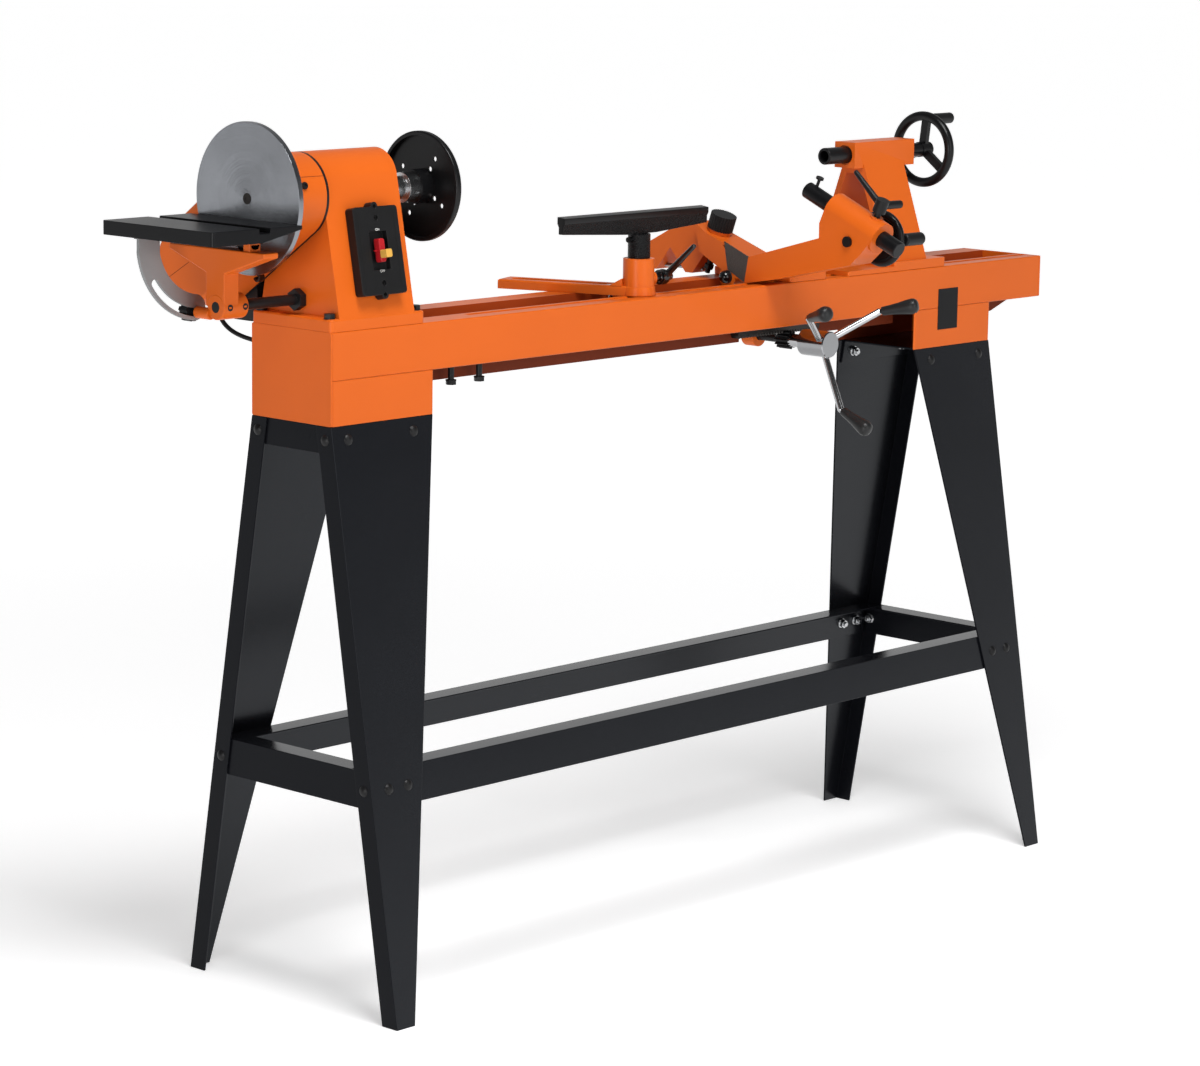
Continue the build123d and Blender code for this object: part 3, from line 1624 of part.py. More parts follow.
# Feed wheel: shaft and pinion through the head, rim and crank pin outside
rim_circle = feed_wheel_radius - feed_rim
pin_y = feed_centre.Y - rim_circle
grip_x = feed_wheel_x + feed_rim + free_gap
with BuildPart() as feed_wheel:
    with BuildSketch(feed_plane.offset(-feed_gear_width / 2)):
        gear_outline(feed_teeth, feed_module)
    extrude(amount=feed_gear_width)
    bar_x(feed_centre.Y, feed_centre.Z, feed_shaft_radius, arm_x, feed_wheel_x)
    bar_x(
        feed_centre.Y,
        feed_centre.Z,
        feed_nut_radius,
        arm_x - feed_nut,
        arm_x - slide_gap,
    )
    bar_x(feed_centre.Y, feed_centre.Z, feed_shaft_radius, arm_x - free_gap, arm_x)
    bar_x(
        feed_centre.Y,
        feed_centre.Z,
        feed_hub_radius,
        feed_wheel_x - feed_hub_length,
        feed_wheel_x + feed_rim / 2,
    )
    bar_x(
        feed_centre.Y,
        feed_centre.Z,
        rim_circle,
        feed_wheel_x - feed_rim / 3,
        feed_wheel_x + feed_rim / 3,
    )
    with Locations(
        Plane(origin=(feed_wheel_x, feed_centre.Y, feed_centre.Z), z_dir=(1, 0, 0))
    ):
        Torus(rim_circle, feed_rim)
    bar_x(pin_y, feed_centre.Z, handle_pin_radius, feed_wheel_x, grip_x + feed_handle_length)
save(feed_wheel.part, "feed_wheel")

with BuildPart() as feed_handle:
    bar_x(pin_y, feed_centre.Z, feed_handle_radius, grip_x, grip_x + feed_handle_length)
    fillet(feed_handle.edges().filter_by(GeomType.CIRCLE), radius=feed_handle_radius / 3)
    bar_x(
        pin_y,
        feed_centre.Z,
        handle_pin_radius + run_gap,
        grip_x,
        grip_x + feed_handle_length,
        Mode.SUBTRACT,
    )
save(feed_handle.part, "feed_handle")

# Capstan: shaft, pinion, neck, flange and hub with three lever rods
hub_back = hub_front - hub_length
neck_back = pinion_back + pinion_width
rod_y = -hub_front + hub_radius
rod_root = Vector(capstan_x, rod_y, capstan_z)


def lever_way_out(count, lean):
    """Direction of a lever that leans out from the hub's face by an angle."""
    turn = radians(lever_first_angle + 360 / lever_count * count)
    tilt = radians(lean)
    return Vector(cos(turn) * cos(tilt), -sin(tilt), sin(turn) * cos(tilt))


with BuildPart() as capstan:
    bar_y(capstan_x, capstan_z, capstan_shaft_radius, -neck_back, apron_back)
    with BuildSketch(Plane.XZ.offset(pinion_back)):
        with Locations((capstan_x, capstan_z)):
            gear_outline(pinion_teeth, module)
    extrude(amount=pinion_width)
    bar_y(capstan_x, capstan_z, neck_radius, -hub_back, -neck_back)
    bar_y(
        capstan_x, capstan_z, capstan_flange_radius, -hub_back - capstan_flange, -hub_back
    )
    bar_y(capstan_x, capstan_z, hub_radius, -hub_front, -hub_back)
    fillet(capstan.faces().sort_by(Axis.Y)[0].edges(), radius=hub_radius / 5)
    for count in range(lever_count):
        way = lever_way_out(count, lever_lean)
        rod_end_point = rod_root + way * (hub_radius + lever_rod)
        bar(rod_root, rod_end_point, lever_rod_radius)
        with Locations(rod_end_point):
            Sphere(lever_rod_radius)
        hexagon(rod_root + way * hub_radius, way, jam_nut_flats, jam_nut)
save(capstan.part, "capstan")

# Grips screwed on the lever rods
with BuildPart() as grips:
    for count in range(lever_count):
        way = lever_way_out(count, grip_lean)
        rod_end_point = rod_root + lever_way_out(count, lever_lean) * (hub_radius + lever_rod)
        with Locations(Plane(origin=rod_end_point + way * lever_rod_radius, z_dir=way)):
            Cone(grip_neck_radius, grip_radius, grip_length, align=FROM_END)
    rims = grips.edges().filter_by(GeomType.CIRCLE)
    fillet(rims.filter_by(lambda rim: rim.radius > grip_neck_radius), radius=grip_radius / 3)
save(grips.part, "capstan_grips")

# Tailstock casting: foot, tongue, hollow column and barrel
foot_end = tail_x + tail_foot_length
foot_start = foot_end - tail_foot_length + barrel_overhang / 2
foot_top = tail_z + tail_foot_height
barrel_start = tail_x - barrel_overhang
barrel_end = barrel_start + barrel_length
column_top = axis_z - barrel_half / 2
hollow_top = axis_z - barrel_half - tail_wall
tail_bolt_x = (tail_right + foot_end) / 2
with BuildPart() as tailstock:
    block(foot_start, foot_end, -half_bed, half_bed, tail_z, foot_top)
    block(
        foot_start - tongue_length,
        foot_start,
        -half_bed,
        half_bed,
        tail_z,
        tail_z + tongue_height,
    )
    fillet(tailstock.edges().filter_by(Axis.Z), radius=base_round / 2)
    block(foot_start, tail_right, -tongue_half, tongue_half, tongue_z, tail_z)
    prism(
        Plane.YZ.offset(tail_x),
        (
            (-tail_foot_half, tail_z),
            (tail_foot_half, tail_z),
            (tail_foot_half, foot_top),
            (tail_top_half, column_top),
            (-tail_top_half, column_top),
            (-tail_foot_half, foot_top),
        ),
        tail_column_length,
    )
    prism(
        Plane.YZ.offset(tail_x),
        (
            (-tail_foot_half + tail_wall, foot_top),
            (tail_foot_half - tail_wall, foot_top),
            (tail_top_half - tail_wall / 2, hollow_top),
            (-tail_top_half + tail_wall / 2, hollow_top),
        ),
        tail_column_length,
        Mode.SUBTRACT,
    )
    block(
        barrel_start,
        barrel_end,
        -barrel_half,
        barrel_half,
        axis_z - barrel_half,
        axis_z + barrel_half,
    )
    bar_x(
        0,
        axis_z,
        quill_radius + barrel_mouth,
        barrel_start,
        barrel_start + barrel_mouth_depth,
        Mode.SUBTRACT,
    )
    bar_x(
        0, axis_z, quill_radius + run_gap, barrel_start, barrel_end - tail_wall, Mode.SUBTRACT
    )
    bar_x(
        0, axis_z, screw_radius + run_gap, barrel_end - tail_wall, barrel_end, Mode.SUBTRACT
    )
    bar_z(tail_bolt_x, 0, clamp_bolt + free_gap, tail_z, foot_top, Mode.SUBTRACT)
save(tailstock.part, "tailstock_body")

# Quill with its taper socket and the screw's bore
quill_tip = barrel_start - quill_reach
with BuildPart() as quill:
    bar_x(0, axis_z, quill_radius, quill_tip, quill_tip + quill_length)
    chamfer(quill.edges().filter_by(GeomType.CIRCLE), length=free_gap)
    with Locations(Plane(origin=(quill_tip, 0, axis_z), z_dir=(1, 0, 0))):
        Cone(taper_mouth, taper_end, taper_depth, align=FROM_END, mode=Mode.SUBTRACT)
    bar_x(
        0,
        axis_z,
        screw_radius + free_gap / 2,
        quill_tip + taper_depth + base_round,
        quill_tip + quill_length,
        Mode.SUBTRACT,
    )
save(quill.part, "quill")

# Handwheel with its screw, spokes and crank pin
wheel_circle = wheel_radius - wheel_rim
crank_z = axis_z + crank_circle
crank_x = wheel_x + wheel_rim + crank_neck
spoke_ways = [
    Vector(0, cos(turn), sin(turn))
    for turn in (radians(spoke_first_angle + 360 / spoke_count * i) for i in range(spoke_count))
]
wheel_centre = Vector(wheel_x, 0, axis_z)
with BuildPart() as wheel:
    bar_x(0, axis_z, screw_radius, quill_tip + taper_depth + quill_reach, wheel_x)
    bar_x(0, axis_z, wheel_hub_radius - free_gap, barrel_end + slide_gap, wheel_x)
    bar_x(
        0,
        axis_z,
        wheel_hub_radius,
        wheel_x - wheel_hub_length / 2,
        wheel_x + wheel_hub_length / 2,
    )
    for way in spoke_ways:
        with Locations(Plane(origin=wheel_centre, x_dir=(1, 0, 0), z_dir=way)):
            Box(spoke_thick, spoke_width, wheel_circle, align=FROM_END)
    bar_x(0, crank_z, handle_pin_radius, wheel_x, crank_x + crank_length)
    with Locations(Plane(origin=wheel_centre, x_dir=(0, 1, 0), z_dir=(1, 0, 0))):
        Torus(wheel_circle, wheel_rim)
save(wheel.part, "tailstock_wheel")

with BuildPart() as crank:
    bar_x(0, crank_z, crank_radius, crank_x, crank_x + crank_length)
    fillet(crank.edges().filter_by(GeomType.CIRCLE), radius=crank_radius / 3)
    bar_x(0, crank_z, handle_pin_radius + run_gap, crank_x, crank_x + crank_length, Mode.SUBTRACT)
save(crank.part, "tailstock_handle")

# Clamp of the tailstock: plate under the rails, bolt and nut
with BuildPart() as tail_clamp:
    block(
        tail_bolt_x - clamp_plate_length / 2,
        tail_bolt_x + clamp_plate_length / 2,
        -clamp_plate_width / 2,
        clamp_plate_width / 2,
        plate_top - clamp_plate_thick,
        plate_top,
    )
    bar_z(tail_bolt_x, 0, clamp_bolt, plate_top, foot_top + 2 * bolt_head)
    bar_z(tail_bolt_x, 0, banjo_slot, foot_top, foot_top + washer_thick)
    hexagon((tail_bolt_x, 0, foot_top + washer_thick), (0, 0, 1), bolt_flats, bolt_head)
save(tail_clamp.part, "tailstock_clamp")

# Bolts of the machine: headstock corners and two studs under the front rail
with BuildPart() as bed_bolts:
    for place_x in (head_left + cowl_start / 2, head_left + head_base_length - cowl_start / 2):
        for side in (-1, 1):
            bolt((place_x, side * (half_bed - 2 * base_round), cowl_z), (0, 0, 1))
    for count in range(2):
        place_x = box_left_end + hanging_bolt_inset + count * hanging_bolt_pitch
        stud_y = -(skirt_inner + rail_foot_flange / 2)
        stud_z = rail_z - hanging_bolt_drop
        bar_z(place_x, stud_y, bolt_flats / 3, stud_z, rail_z)
        bolt((place_x, stud_y, stud_z), (0, 0, -1))
save(bed_bolts.part, "bed_bolts")
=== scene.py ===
"""Looks of the copying wood lathe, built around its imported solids."""

import json
import logging
import math
from dataclasses import dataclass, replace
from enum import Enum
from typing import Any, Callable, Iterable, Sequence, Union

import bmesh
import bpy
from mathutils import Matrix, Vector

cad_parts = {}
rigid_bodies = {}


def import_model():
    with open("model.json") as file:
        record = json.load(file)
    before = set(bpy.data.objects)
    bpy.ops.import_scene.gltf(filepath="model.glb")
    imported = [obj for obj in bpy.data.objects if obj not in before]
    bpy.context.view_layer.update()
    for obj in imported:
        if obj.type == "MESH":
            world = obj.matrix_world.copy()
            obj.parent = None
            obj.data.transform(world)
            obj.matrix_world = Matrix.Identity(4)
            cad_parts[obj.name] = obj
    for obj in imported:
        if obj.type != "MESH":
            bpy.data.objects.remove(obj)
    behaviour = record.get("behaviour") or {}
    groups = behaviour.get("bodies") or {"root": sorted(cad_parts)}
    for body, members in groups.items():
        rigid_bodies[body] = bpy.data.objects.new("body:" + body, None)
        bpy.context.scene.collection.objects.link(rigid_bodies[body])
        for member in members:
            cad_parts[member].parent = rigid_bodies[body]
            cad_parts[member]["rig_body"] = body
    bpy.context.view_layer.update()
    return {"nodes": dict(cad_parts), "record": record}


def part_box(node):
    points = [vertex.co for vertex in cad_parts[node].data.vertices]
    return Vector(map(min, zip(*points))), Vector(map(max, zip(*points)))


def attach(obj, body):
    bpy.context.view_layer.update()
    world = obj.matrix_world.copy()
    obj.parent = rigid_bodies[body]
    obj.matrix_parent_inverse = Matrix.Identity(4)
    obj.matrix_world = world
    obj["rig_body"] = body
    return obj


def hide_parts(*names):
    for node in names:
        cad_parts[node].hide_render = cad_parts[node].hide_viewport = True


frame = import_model()

LOG = logging.getLogger("lathe")
MM = 0.001
Colour = tuple[float, float, float]
Value = Union["Sock", float, int]


class Axis(Enum):
    """Main directions of the machine."""

    ALONG = (1.0, 0.0, 0.0)
    ACROSS = (0.0, 1.0, 0.0)
    UP = (0.0, 0.0, 1.0)

    @property
    def way(self) -> Vector:
        """Unit vector of the direction."""
        return Vector(self.value)


def mm(x: float, y: float, z: float) -> Vector:
    """Point in metres from millimetres."""
    return Vector((x, y, z)) * MM


def scaled(colour: Colour, share: float) -> Colour:
    """Colour made lighter or darker."""
    return tuple(part * share for part in colour)


def frame_centre(node: str) -> Vector:
    """Middle of a CAD node's box."""
    low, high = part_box(node)
    return (low + high) / 2


def body_of(node: str) -> str:
    """Body that a CAD node rides on."""
    return frame["nodes"][node]["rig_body"]


def slot_of(node: str) -> str:
    """Material slot that the record gives a CAD node."""
    return next(part["material_slot"] for part in frame["record"]["subparts"] if part["node"] == node)


# Shader maths


class Sock:
    """A shader socket that takes part in Python maths."""

    def __init__(self, shade: "Shade", socket: bpy.types.NodeSocket) -> None:
        """Keeps the socket and the material that it belongs to."""
        self.shade = shade
        self.socket = socket

    def maths(self, operation: str, first: Value, second: Value) -> "Sock":
        """Adds a Math node.

        Args:
            operation: name of the node's operation.
            first: left value or socket.
            second: right value or socket.

        Returns:
            The node's result.
        """
        settings = {"operation": operation}
        return self.shade.node("ShaderNodeMath", settings, {0: first, 1: second})

    def __add__(self, other: Value) -> "Sock":
        """Sum."""
        return self.maths("ADD", self, other)

    def __radd__(self, other: Value) -> "Sock":
        """Sum with the socket on the right."""
        return self.maths("ADD", other, self)

    def __sub__(self, other: Value) -> "Sock":
        """Difference."""
        return self.maths("SUBTRACT", self, other)

    def __rsub__(self, other: Value) -> "Sock":
        """Difference with the socket on the right."""
        return self.maths("SUBTRACT", other, self)

    def __mul__(self, other: Value) -> "Sock":
        """Product."""
        return self.maths("MULTIPLY", self, other)

    def __rmul__(self, other: Value) -> "Sock":
        """Product with the socket on the right."""
        return self.maths("MULTIPLY", other, self)

    def swing(self, share: float) -> "Sock":
        """Value from 0 to 1 made to swing about 0, by a share of its span."""
        return (self - 0.5) * share


class Shade:
    """Node tree of one material, or of the sky."""

    def __init__(self, name: str, sky: bool = False) -> None:
        """Starts an empty material with its output.

        Args:
            name: name of the material.
            sky: whether it is the sky's.
        """
        self.material = (bpy.data.worlds if sky else bpy.data.materials).new(name)
        self.material.use_nodes = True
        self.tree = self.material.node_tree
        self.tree.nodes.clear()
        self.output = self.tree.nodes.new("ShaderNodeOutputWorld" if sky else "ShaderNodeOutputMaterial")

    def node(
        self,
        kind: str,
        settings: dict[str, Any] | None = None,
        sockets: dict[str | int, Any] | None = None,
        outlet: str | int = 0,
    ) -> Sock:
        """Adds any node, sets it and joins its sockets.

        Args:
            kind: type of the node.
            settings: properties of the node.
            sockets: values or links by the socket's name or number.
            outlet: output to hand back.

        Returns:
            The chosen output.
        """
        made = self.tree.nodes.new(kind)
        for key, value in (settings or {}).items():
            setattr(made, key, value)
        for key, value in (sockets or {}).items():
            if isinstance(value, Sock):
                self.tree.links.new(value.socket, made.inputs[key])
            else:
                made.inputs[key].default_value = value
        return Sock(self, made.outputs[outlet])

    def place(self) -> Sock:
        """Object coordinates, in metres of the machine's frame."""
        return self.node("ShaderNodeTexCoord", outlet="Object")

    def noise(self, scale: float, detail: float = 2.0, at: Sock | None = None) -> Sock:
        """Adds a noise pattern.

        Args:
            scale: repeats in a metre.
            detail: octaves of the pattern.
            at: coordinates, or the object's own.

        Returns:
            Value from 0 to 1.
        """
        sockets = {"Vector": at or self.place(), "Scale": scale, "Detail": detail}
        return self.node("ShaderNodeTexNoise", {}, sockets, "Fac")

    def stretched(self, way: Axis, scale: float, stretch: float) -> Sock:
        """Adds noise drawn out along one direction, as brushing leaves it.

        Args:
            way: direction of the strokes.
            scale: repeats in a metre across the strokes.
            stretch: how many times longer the strokes are.

        Returns:
            Value from 0 to 1.
        """
        scales = [1.0 - part * (1.0 - 1.0 / stretch) for part in way.value]
        mapped = self.node(
            "ShaderNodeMapping",
            {"vector_type": "POINT"},
            {"Vector": self.place(), "Scale": scales},
        )
        return self.noise(scale, detail=3.0, at=mapped)

    def blend(self, factor: Value, low: Any, high: Any) -> Sock:
        """Mixes two colours.

        Args:
            factor: share of the second colour.
            low: first colour or socket.
            high: second colour or socket.

        Returns:
            Mixed colour.
        """
        low = (*low, 1.0) if isinstance(low, tuple) else low
        high = (*high, 1.0) if isinstance(high, tuple) else high
        settings = {"data_type": "RGBA", "blend_type": "MIX"}
        return self.node("ShaderNodeMix", settings, {0: factor, 6: low, 7: high}, 2)

    def tones(self, factor: Sock, colour: Colour, low: float, high: float) -> Sock:
        """Mixes two tones of one colour.

        Args:
            factor: share of the second tone.
            colour: colour at full tone.
            low: lightness of the first tone.
            high: lightness of the second tone.

        Returns:
            Mixed colour.
        """
        return self.blend(factor, scaled(colour, low), scaled(colour, high))

    def vector(self, operation: str, sockets: dict[str | int, Any], outlet: str | int = 0) -> Sock:
        """Adds a Vector Math node.

        Args:
            operation: name of the node's operation.
            sockets: values or links by the socket's name or number.
            outlet: output to hand back.

        Returns:
            The chosen output.
        """
        return self.node("ShaderNodeVectorMath", {"operation": operation}, sockets, outlet)

    def limit(self, value: Sock, low: float, high: float) -> Sock:
        """Stretches a value from two limits to the span from 0 to 1.

        Args:
            value: value to stretch.
            low: value that gives 0.
            high: value that gives 1.

        Returns:
            Clamped value.
        """
        sockets = {"Value": value, "From Min": low, "From Max": high}
        return self.node("ShaderNodeMapRange", {"clamp": True}, sockets)

    def bump(self, height: Sock, strength: float, depth: float, under: Sock | None = None) -> Sock:
        """Turns a height into a normal.

        Args:
            height: height from 0 to 1.
            strength: share of the effect.
            depth: height of a full step in metres.
            under: normal that it is laid on.

        Returns:
            Normal.
        """
        sockets: dict[str | int, Any] = {"Height": height, "Strength": strength, "Distance": depth}
        if under is not None:
            sockets["Normal"] = under
        return self.node("ShaderNodeBump", {}, sockets)

    def surface(self, sockets: dict[str | int, Any]) -> bpy.types.Material:
        """Adds the shader and closes the material.

        Args:
            sockets: values or links of the shader's sockets.

        Returns:
            The finished material.
        """
        return self.close(self.node("ShaderNodeBsdfPrincipled", {}, sockets))

    def close(self, shader: Sock) -> Any:
        """Joins a shader to the output and hands back the material or sky."""
        self.tree.links.new(shader.socket, self.output.inputs["Surface"])
        return self.material


# Finishes


@dataclass(frozen=True)
class Enamel:
    """Sprayed paint on metal: faint clouds, orange peel and fine dust."""

    name: str
    colour: Colour
    roughness: float
    cloud: float = 0.05
    cloud_scale: float = 7.0
    cloud_wear: float = 0.1
    dust_scale: float = 900.0
    dust_wear: float = 0.08
    peel: float = 0.12
    peel_scale: float = 420.0
    peel_depth: float = 0.0003
    coat: float = 0.0
    coat_roughness: float = 0.15
    gloss: float = 0.3
    tint: Colour = (1.0, 1.0, 1.0)

    def material(self) -> bpy.types.Material:
        """Builds the paint.

        Returns:
            The finished material.
        """
        shade = Shade(self.name)
        cloud = shade.noise(self.cloud_scale, detail=3.0)
        dust = shade.noise(self.dust_scale)
        peel = shade.noise(self.peel_scale)
        wear = cloud.swing(self.cloud_wear) + dust.swing(self.dust_wear)
        return shade.surface(
            {
                "Base Color": shade.tones(cloud, self.colour, 1.0 - self.cloud, 1.0 + self.cloud),
                "Roughness": self.roughness + wear,
                "Normal": shade.bump(peel, self.peel, self.peel_depth),
                "Coat Weight": self.coat,
                "Coat Roughness": self.coat_roughness,
                "Specular IOR Level": self.gloss,
                "Specular Tint": (*self.tint, 1.0),
            }
        )


@dataclass(frozen=True)
class Spun:
    """Turned metal with rings about an axis along the bed."""

    name: str
    colour: Colour
    roughness: float
    axis_z: float
    rings: float = 0.16
    ring_scale: float = 2600.0
    ring_wear: float = 0.12
    stain: float = 0.12
    stain_scale: float = 22.0
    stain_low: float = 0.35
    stain_high: float = 0.75
    stain_wear: float = 0.06

    def material(self) -> bpy.types.Material:
        """Builds the turned metal.

        Returns:
            The finished material.
        """
        shade = Shade(self.name)
        centre = {"Vector": shade.place(), "Location": (0.0, 0.0, -self.axis_z)}
        moved = shade.node("ShaderNodeMapping", {"vector_type": "POINT"}, centre)
        flat = shade.vector("MULTIPLY", {0: moved, 1: (0.0, 1.0, 1.0)})
        radius = shade.vector("LENGTH", {0: flat}, "Value")
        out = shade.vector("NORMALIZE", {0: flat})
        turned = shade.node(
            "ShaderNodeTexNoise",
            {"noise_dimensions": "1D"},
            {"W": radius * self.ring_scale, "Scale": 1.0, "Detail": 1.0},
            "Fac",
        )
        lean = shade.vector("SCALE", {0: out, "Scale": turned.swing(self.rings)})
        normal = shade.node("ShaderNodeNewGeometry", outlet="Normal")
        tilted = shade.vector("ADD", {0: normal, 1: lean})
        smear = shade.limit(shade.noise(self.stain_scale, detail=4.0), self.stain_low, self.stain_high)
        wear = turned.swing(self.ring_wear) + smear.swing(self.stain_wear)
        return shade.surface(
            {
                "Base Color": shade.tones(smear, self.colour, 1.0, 1.0 - self.stain),
                "Metallic": 1.0,
                "Roughness": self.roughness + wear,
                "Normal": shade.vector("NORMALIZE", {0: tilted}),
            }
        )


@dataclass(frozen=True)
class Bare:
    """Machined or plated metal with strokes along one direction."""

    name: str
    colour: Colour
    roughness: float
    way: Axis = Axis.ALONG
    stroke: float = 0.1
    stroke_scale: float = 900.0
    stroke_depth: float = 0.0002
    stroke_wear: float = 0.14
    stretch: float = 14.0
    stain: float = 0.1
    stain_scale: float = 35.0
    stain_wear: float = 0.06

    def material(self) -> bpy.types.Material:
        """Builds the bare metal.

        Returns:
            The finished material.
        """
        shade = Shade(self.name)
        strokes = shade.stretched(self.way, self.stroke_scale, self.stretch)
        cloud = shade.noise(self.stain_scale, detail=3.0)
        wear = strokes.swing(self.stroke_wear) + cloud.swing(self.stain_wear)
        return shade.surface(
            {
                "Base Color": shade.tones(cloud, self.colour, 1.0 - self.stain, 1.0),
                "Metallic": 1.0,
                "Roughness": self.roughness + wear,
                "Normal": shade.bump(strokes, self.stroke, self.stroke_depth),
            }
        )


@dataclass(frozen=True)
class Moulded:
    """Moulded plastic or rubber with a fine grain."""

    name: str
    colour: Colour
    roughness: float
    grain: float = 0.25
    grain_scale: float = 1500.0
    grain_depth: float = 0.0002
    grain_wear: float = 0.1
    cloud: float = 0.12
    cloud_scale: float = 40.0
    cloud_wear: float = 0.08
    gloss: float = 0.35

    def material(self) -> bpy.types.Material:
        """Builds the plastic.

        Returns:
            The finished material.
        """
        shade = Shade(self.name)
        grain = shade.noise(self.grain_scale)
        cloud = shade.noise(self.cloud_scale, detail=3.0)
        wear = grain.swing(self.grain_wear) + cloud.swing(self.cloud_wear)
        return shade.surface(
            {
                "Base Color": shade.tones(cloud, self.colour, 1.0 - self.cloud, 1.0 + self.cloud),
                "Roughness": self.roughness + wear,
                "Normal": shade.bump(grain, self.grain, self.grain_depth),
                "Specular IOR Level": self.gloss,
            }
        )


@dataclass(frozen=True)
class Cast:
    """Rough casting, painted or raw."""

    name: str
    colour: Colour
    roughness: float
    lumps: float = 0.35
    lump_scale: float = 260.0
    lump_share: float = 0.7
    lump_depth: float = 0.0012
    lump_wear: float = 0.12
    pit_finer: float = 2.5
    pit_low: float = 0.3
    pit_high: float = 0.62
    pit_wear: float = 0.1
    cloud_scale: float = 18.0
    darker: float = 0.8
    lighter: float = 1.15
    gloss: float = 0.3

    def material(self) -> bpy.types.Material:
        """Builds the casting.

        Returns:
            The finished material.
        """
        shade = Shade(self.name)
        lump = shade.noise(self.lump_scale, detail=4.0)
        pit = shade.limit(shade.noise(self.lump_scale * self.pit_finer), self.pit_low, self.pit_high)
        cloud = shade.noise(self.cloud_scale, detail=3.0)
        height = lump * self.lump_share + pit * (1.0 - self.lump_share)
        return shade.surface(
            {
                "Base Color": shade.tones(cloud, self.colour, self.darker, self.lighter),
                "Roughness": self.roughness + lump.swing(self.lump_wear) + (1.0 - pit) * self.pit_wear,
                "Normal": shade.bump(height, self.lumps, self.lump_depth),
                "Specular IOR Level": self.gloss,
            }
        )


class Palette:
    """Finishes of the machine, each built once."""

    def __init__(self) -> None:
        """Builds every finish."""
        self.paints()
        self.metals()
        self.plastics()

    def paints(self) -> None:
        """Builds the paints and the castings."""
        self.orange = Enamel("orange_enamel", (0.58, 0.104, 0.009), 0.36, coat=0.03, gloss=0.15).material()
        # Painted shade: a darker orange for the rails' faces that look towards each other.
        self.inner = Enamel("painted_inner_shade_enamel", (0.34, 0.045, 0.007), 0.45, gloss=0.12).material()
        # Painted shade under the rails and inside the boxes, in dark red, which also draws the belt cover's
        # seams.
        self.shade_and_seam_red = Enamel("painted_shade_and_seam_red", (0.13, 0.022, 0.007), 0.6, cloud=0.2, gloss=0.1).material()
        powder = Enamel(
            "black_powder_coat",
            (0.0042, 0.0045, 0.006),
            0.25,
            cloud=0.12,
            peel=0.1,
            peel_scale=1100.0,
            gloss=0.27,
            tint=(0.86, 0.92, 1.0),
        )
        # Painted sheen and shade: copies of the coat that gleam more on upper faces and less on left faces.
        upper = replace(powder, name="black_powder_coat_painted_sheen", roughness=0.2, peel=0.06, gloss=0.5)
        side = replace(powder, name="black_powder_coat_painted_dull", roughness=0.3, gloss=0.08)
        self.stand = powder.material()
        self.stand_painted_sheen = upper.material()
        self.stand_painted_dull = side.material()
        black = Enamel(
            "black_enamel", (0.0045, 0.0045, 0.005), 0.3, cloud=0.1, peel_scale=700.0, gloss=0.22
        )
        table = replace(
            black, name="table_black", colour=(0.0028, 0.0029, 0.0036), roughness=0.34, gloss=0.15
        )
        self.black = black.material()
        self.table = table.material()
        self.casting = Cast(
            "black_casting", (0.0022, 0.0022, 0.0026), 0.2, lumps=0.9, gloss=0.15
        ).material()
        self.raw = Cast("raw_casting", (0.05, 0.043, 0.039), 0.45, lumps=0.8).material()

    def metals(self) -> None:
        """Builds the bare and plated metals."""
        axis_z = frame_centre("spindle").z
        self.disc = Spun(
            "spun_disc", (0.27, 0.281, 0.302), 0.2, axis_z, rings=1.2, ring_scale=7000.0
        ).material()
        self.quadrant = Bare("quadrant_plate", (0.3, 0.305, 0.31), 0.5).material()
        self.steel = Bare("turned_steel", (0.26, 0.26, 0.26), 0.3, Axis.ACROSS).material()
        self.oiled = Bare("oiled_steel", (0.05, 0.045, 0.042), 0.42, Axis.ACROSS).material()
        self.zinc = Bare("zinc_plate", (0.6, 0.61, 0.62), 0.22, Axis.UP, stroke=0.05).material()
        self.chrome = Bare("chrome_plate", (0.47, 0.475, 0.485), 0.07, stroke=0.0).material()
        self.hub = Bare("hub_plate", (0.34, 0.345, 0.355), 0.12, stroke=0.02).material()

    def plastics(self) -> None:
        """Builds the plastics, the rubber and the print."""
        self.gloss = Moulded("gloss_black", (0.004, 0.004, 0.0045), 0.14, grain=0.05, gloss=0.5).material()
        self.plastic = Moulded("black_plastic", (0.006, 0.006, 0.0065), 0.4, gloss=0.22).material()
        self.grip = Moulded("grip_plastic", (0.014, 0.0145, 0.015), 0.36, grain=0.15, gloss=0.25).material()
        self.red = Moulded("red_plastic", (0.36, 0.01, 0.014), 0.32, grain=0.1, gloss=0.25).material()
        self.yellow = Moulded("yellow_plastic", (0.6, 0.33, 0.06), 0.34, grain=0.1).material()
        self.rubber = Moulded("black_rubber", (0.007, 0.007, 0.007), 0.5, grain=0.2, gloss=0.2).material()
        self.print = Moulded("white_print", (0.62, 0.62, 0.6), 0.5, grain=0.1).material()


# Scene


@dataclass(frozen=True)
class Lamp:
    """One soft box: its place and width in metres, and its power in watts."""

    name: str
    at: tuple[float, float, float]
    size: float
    power: float


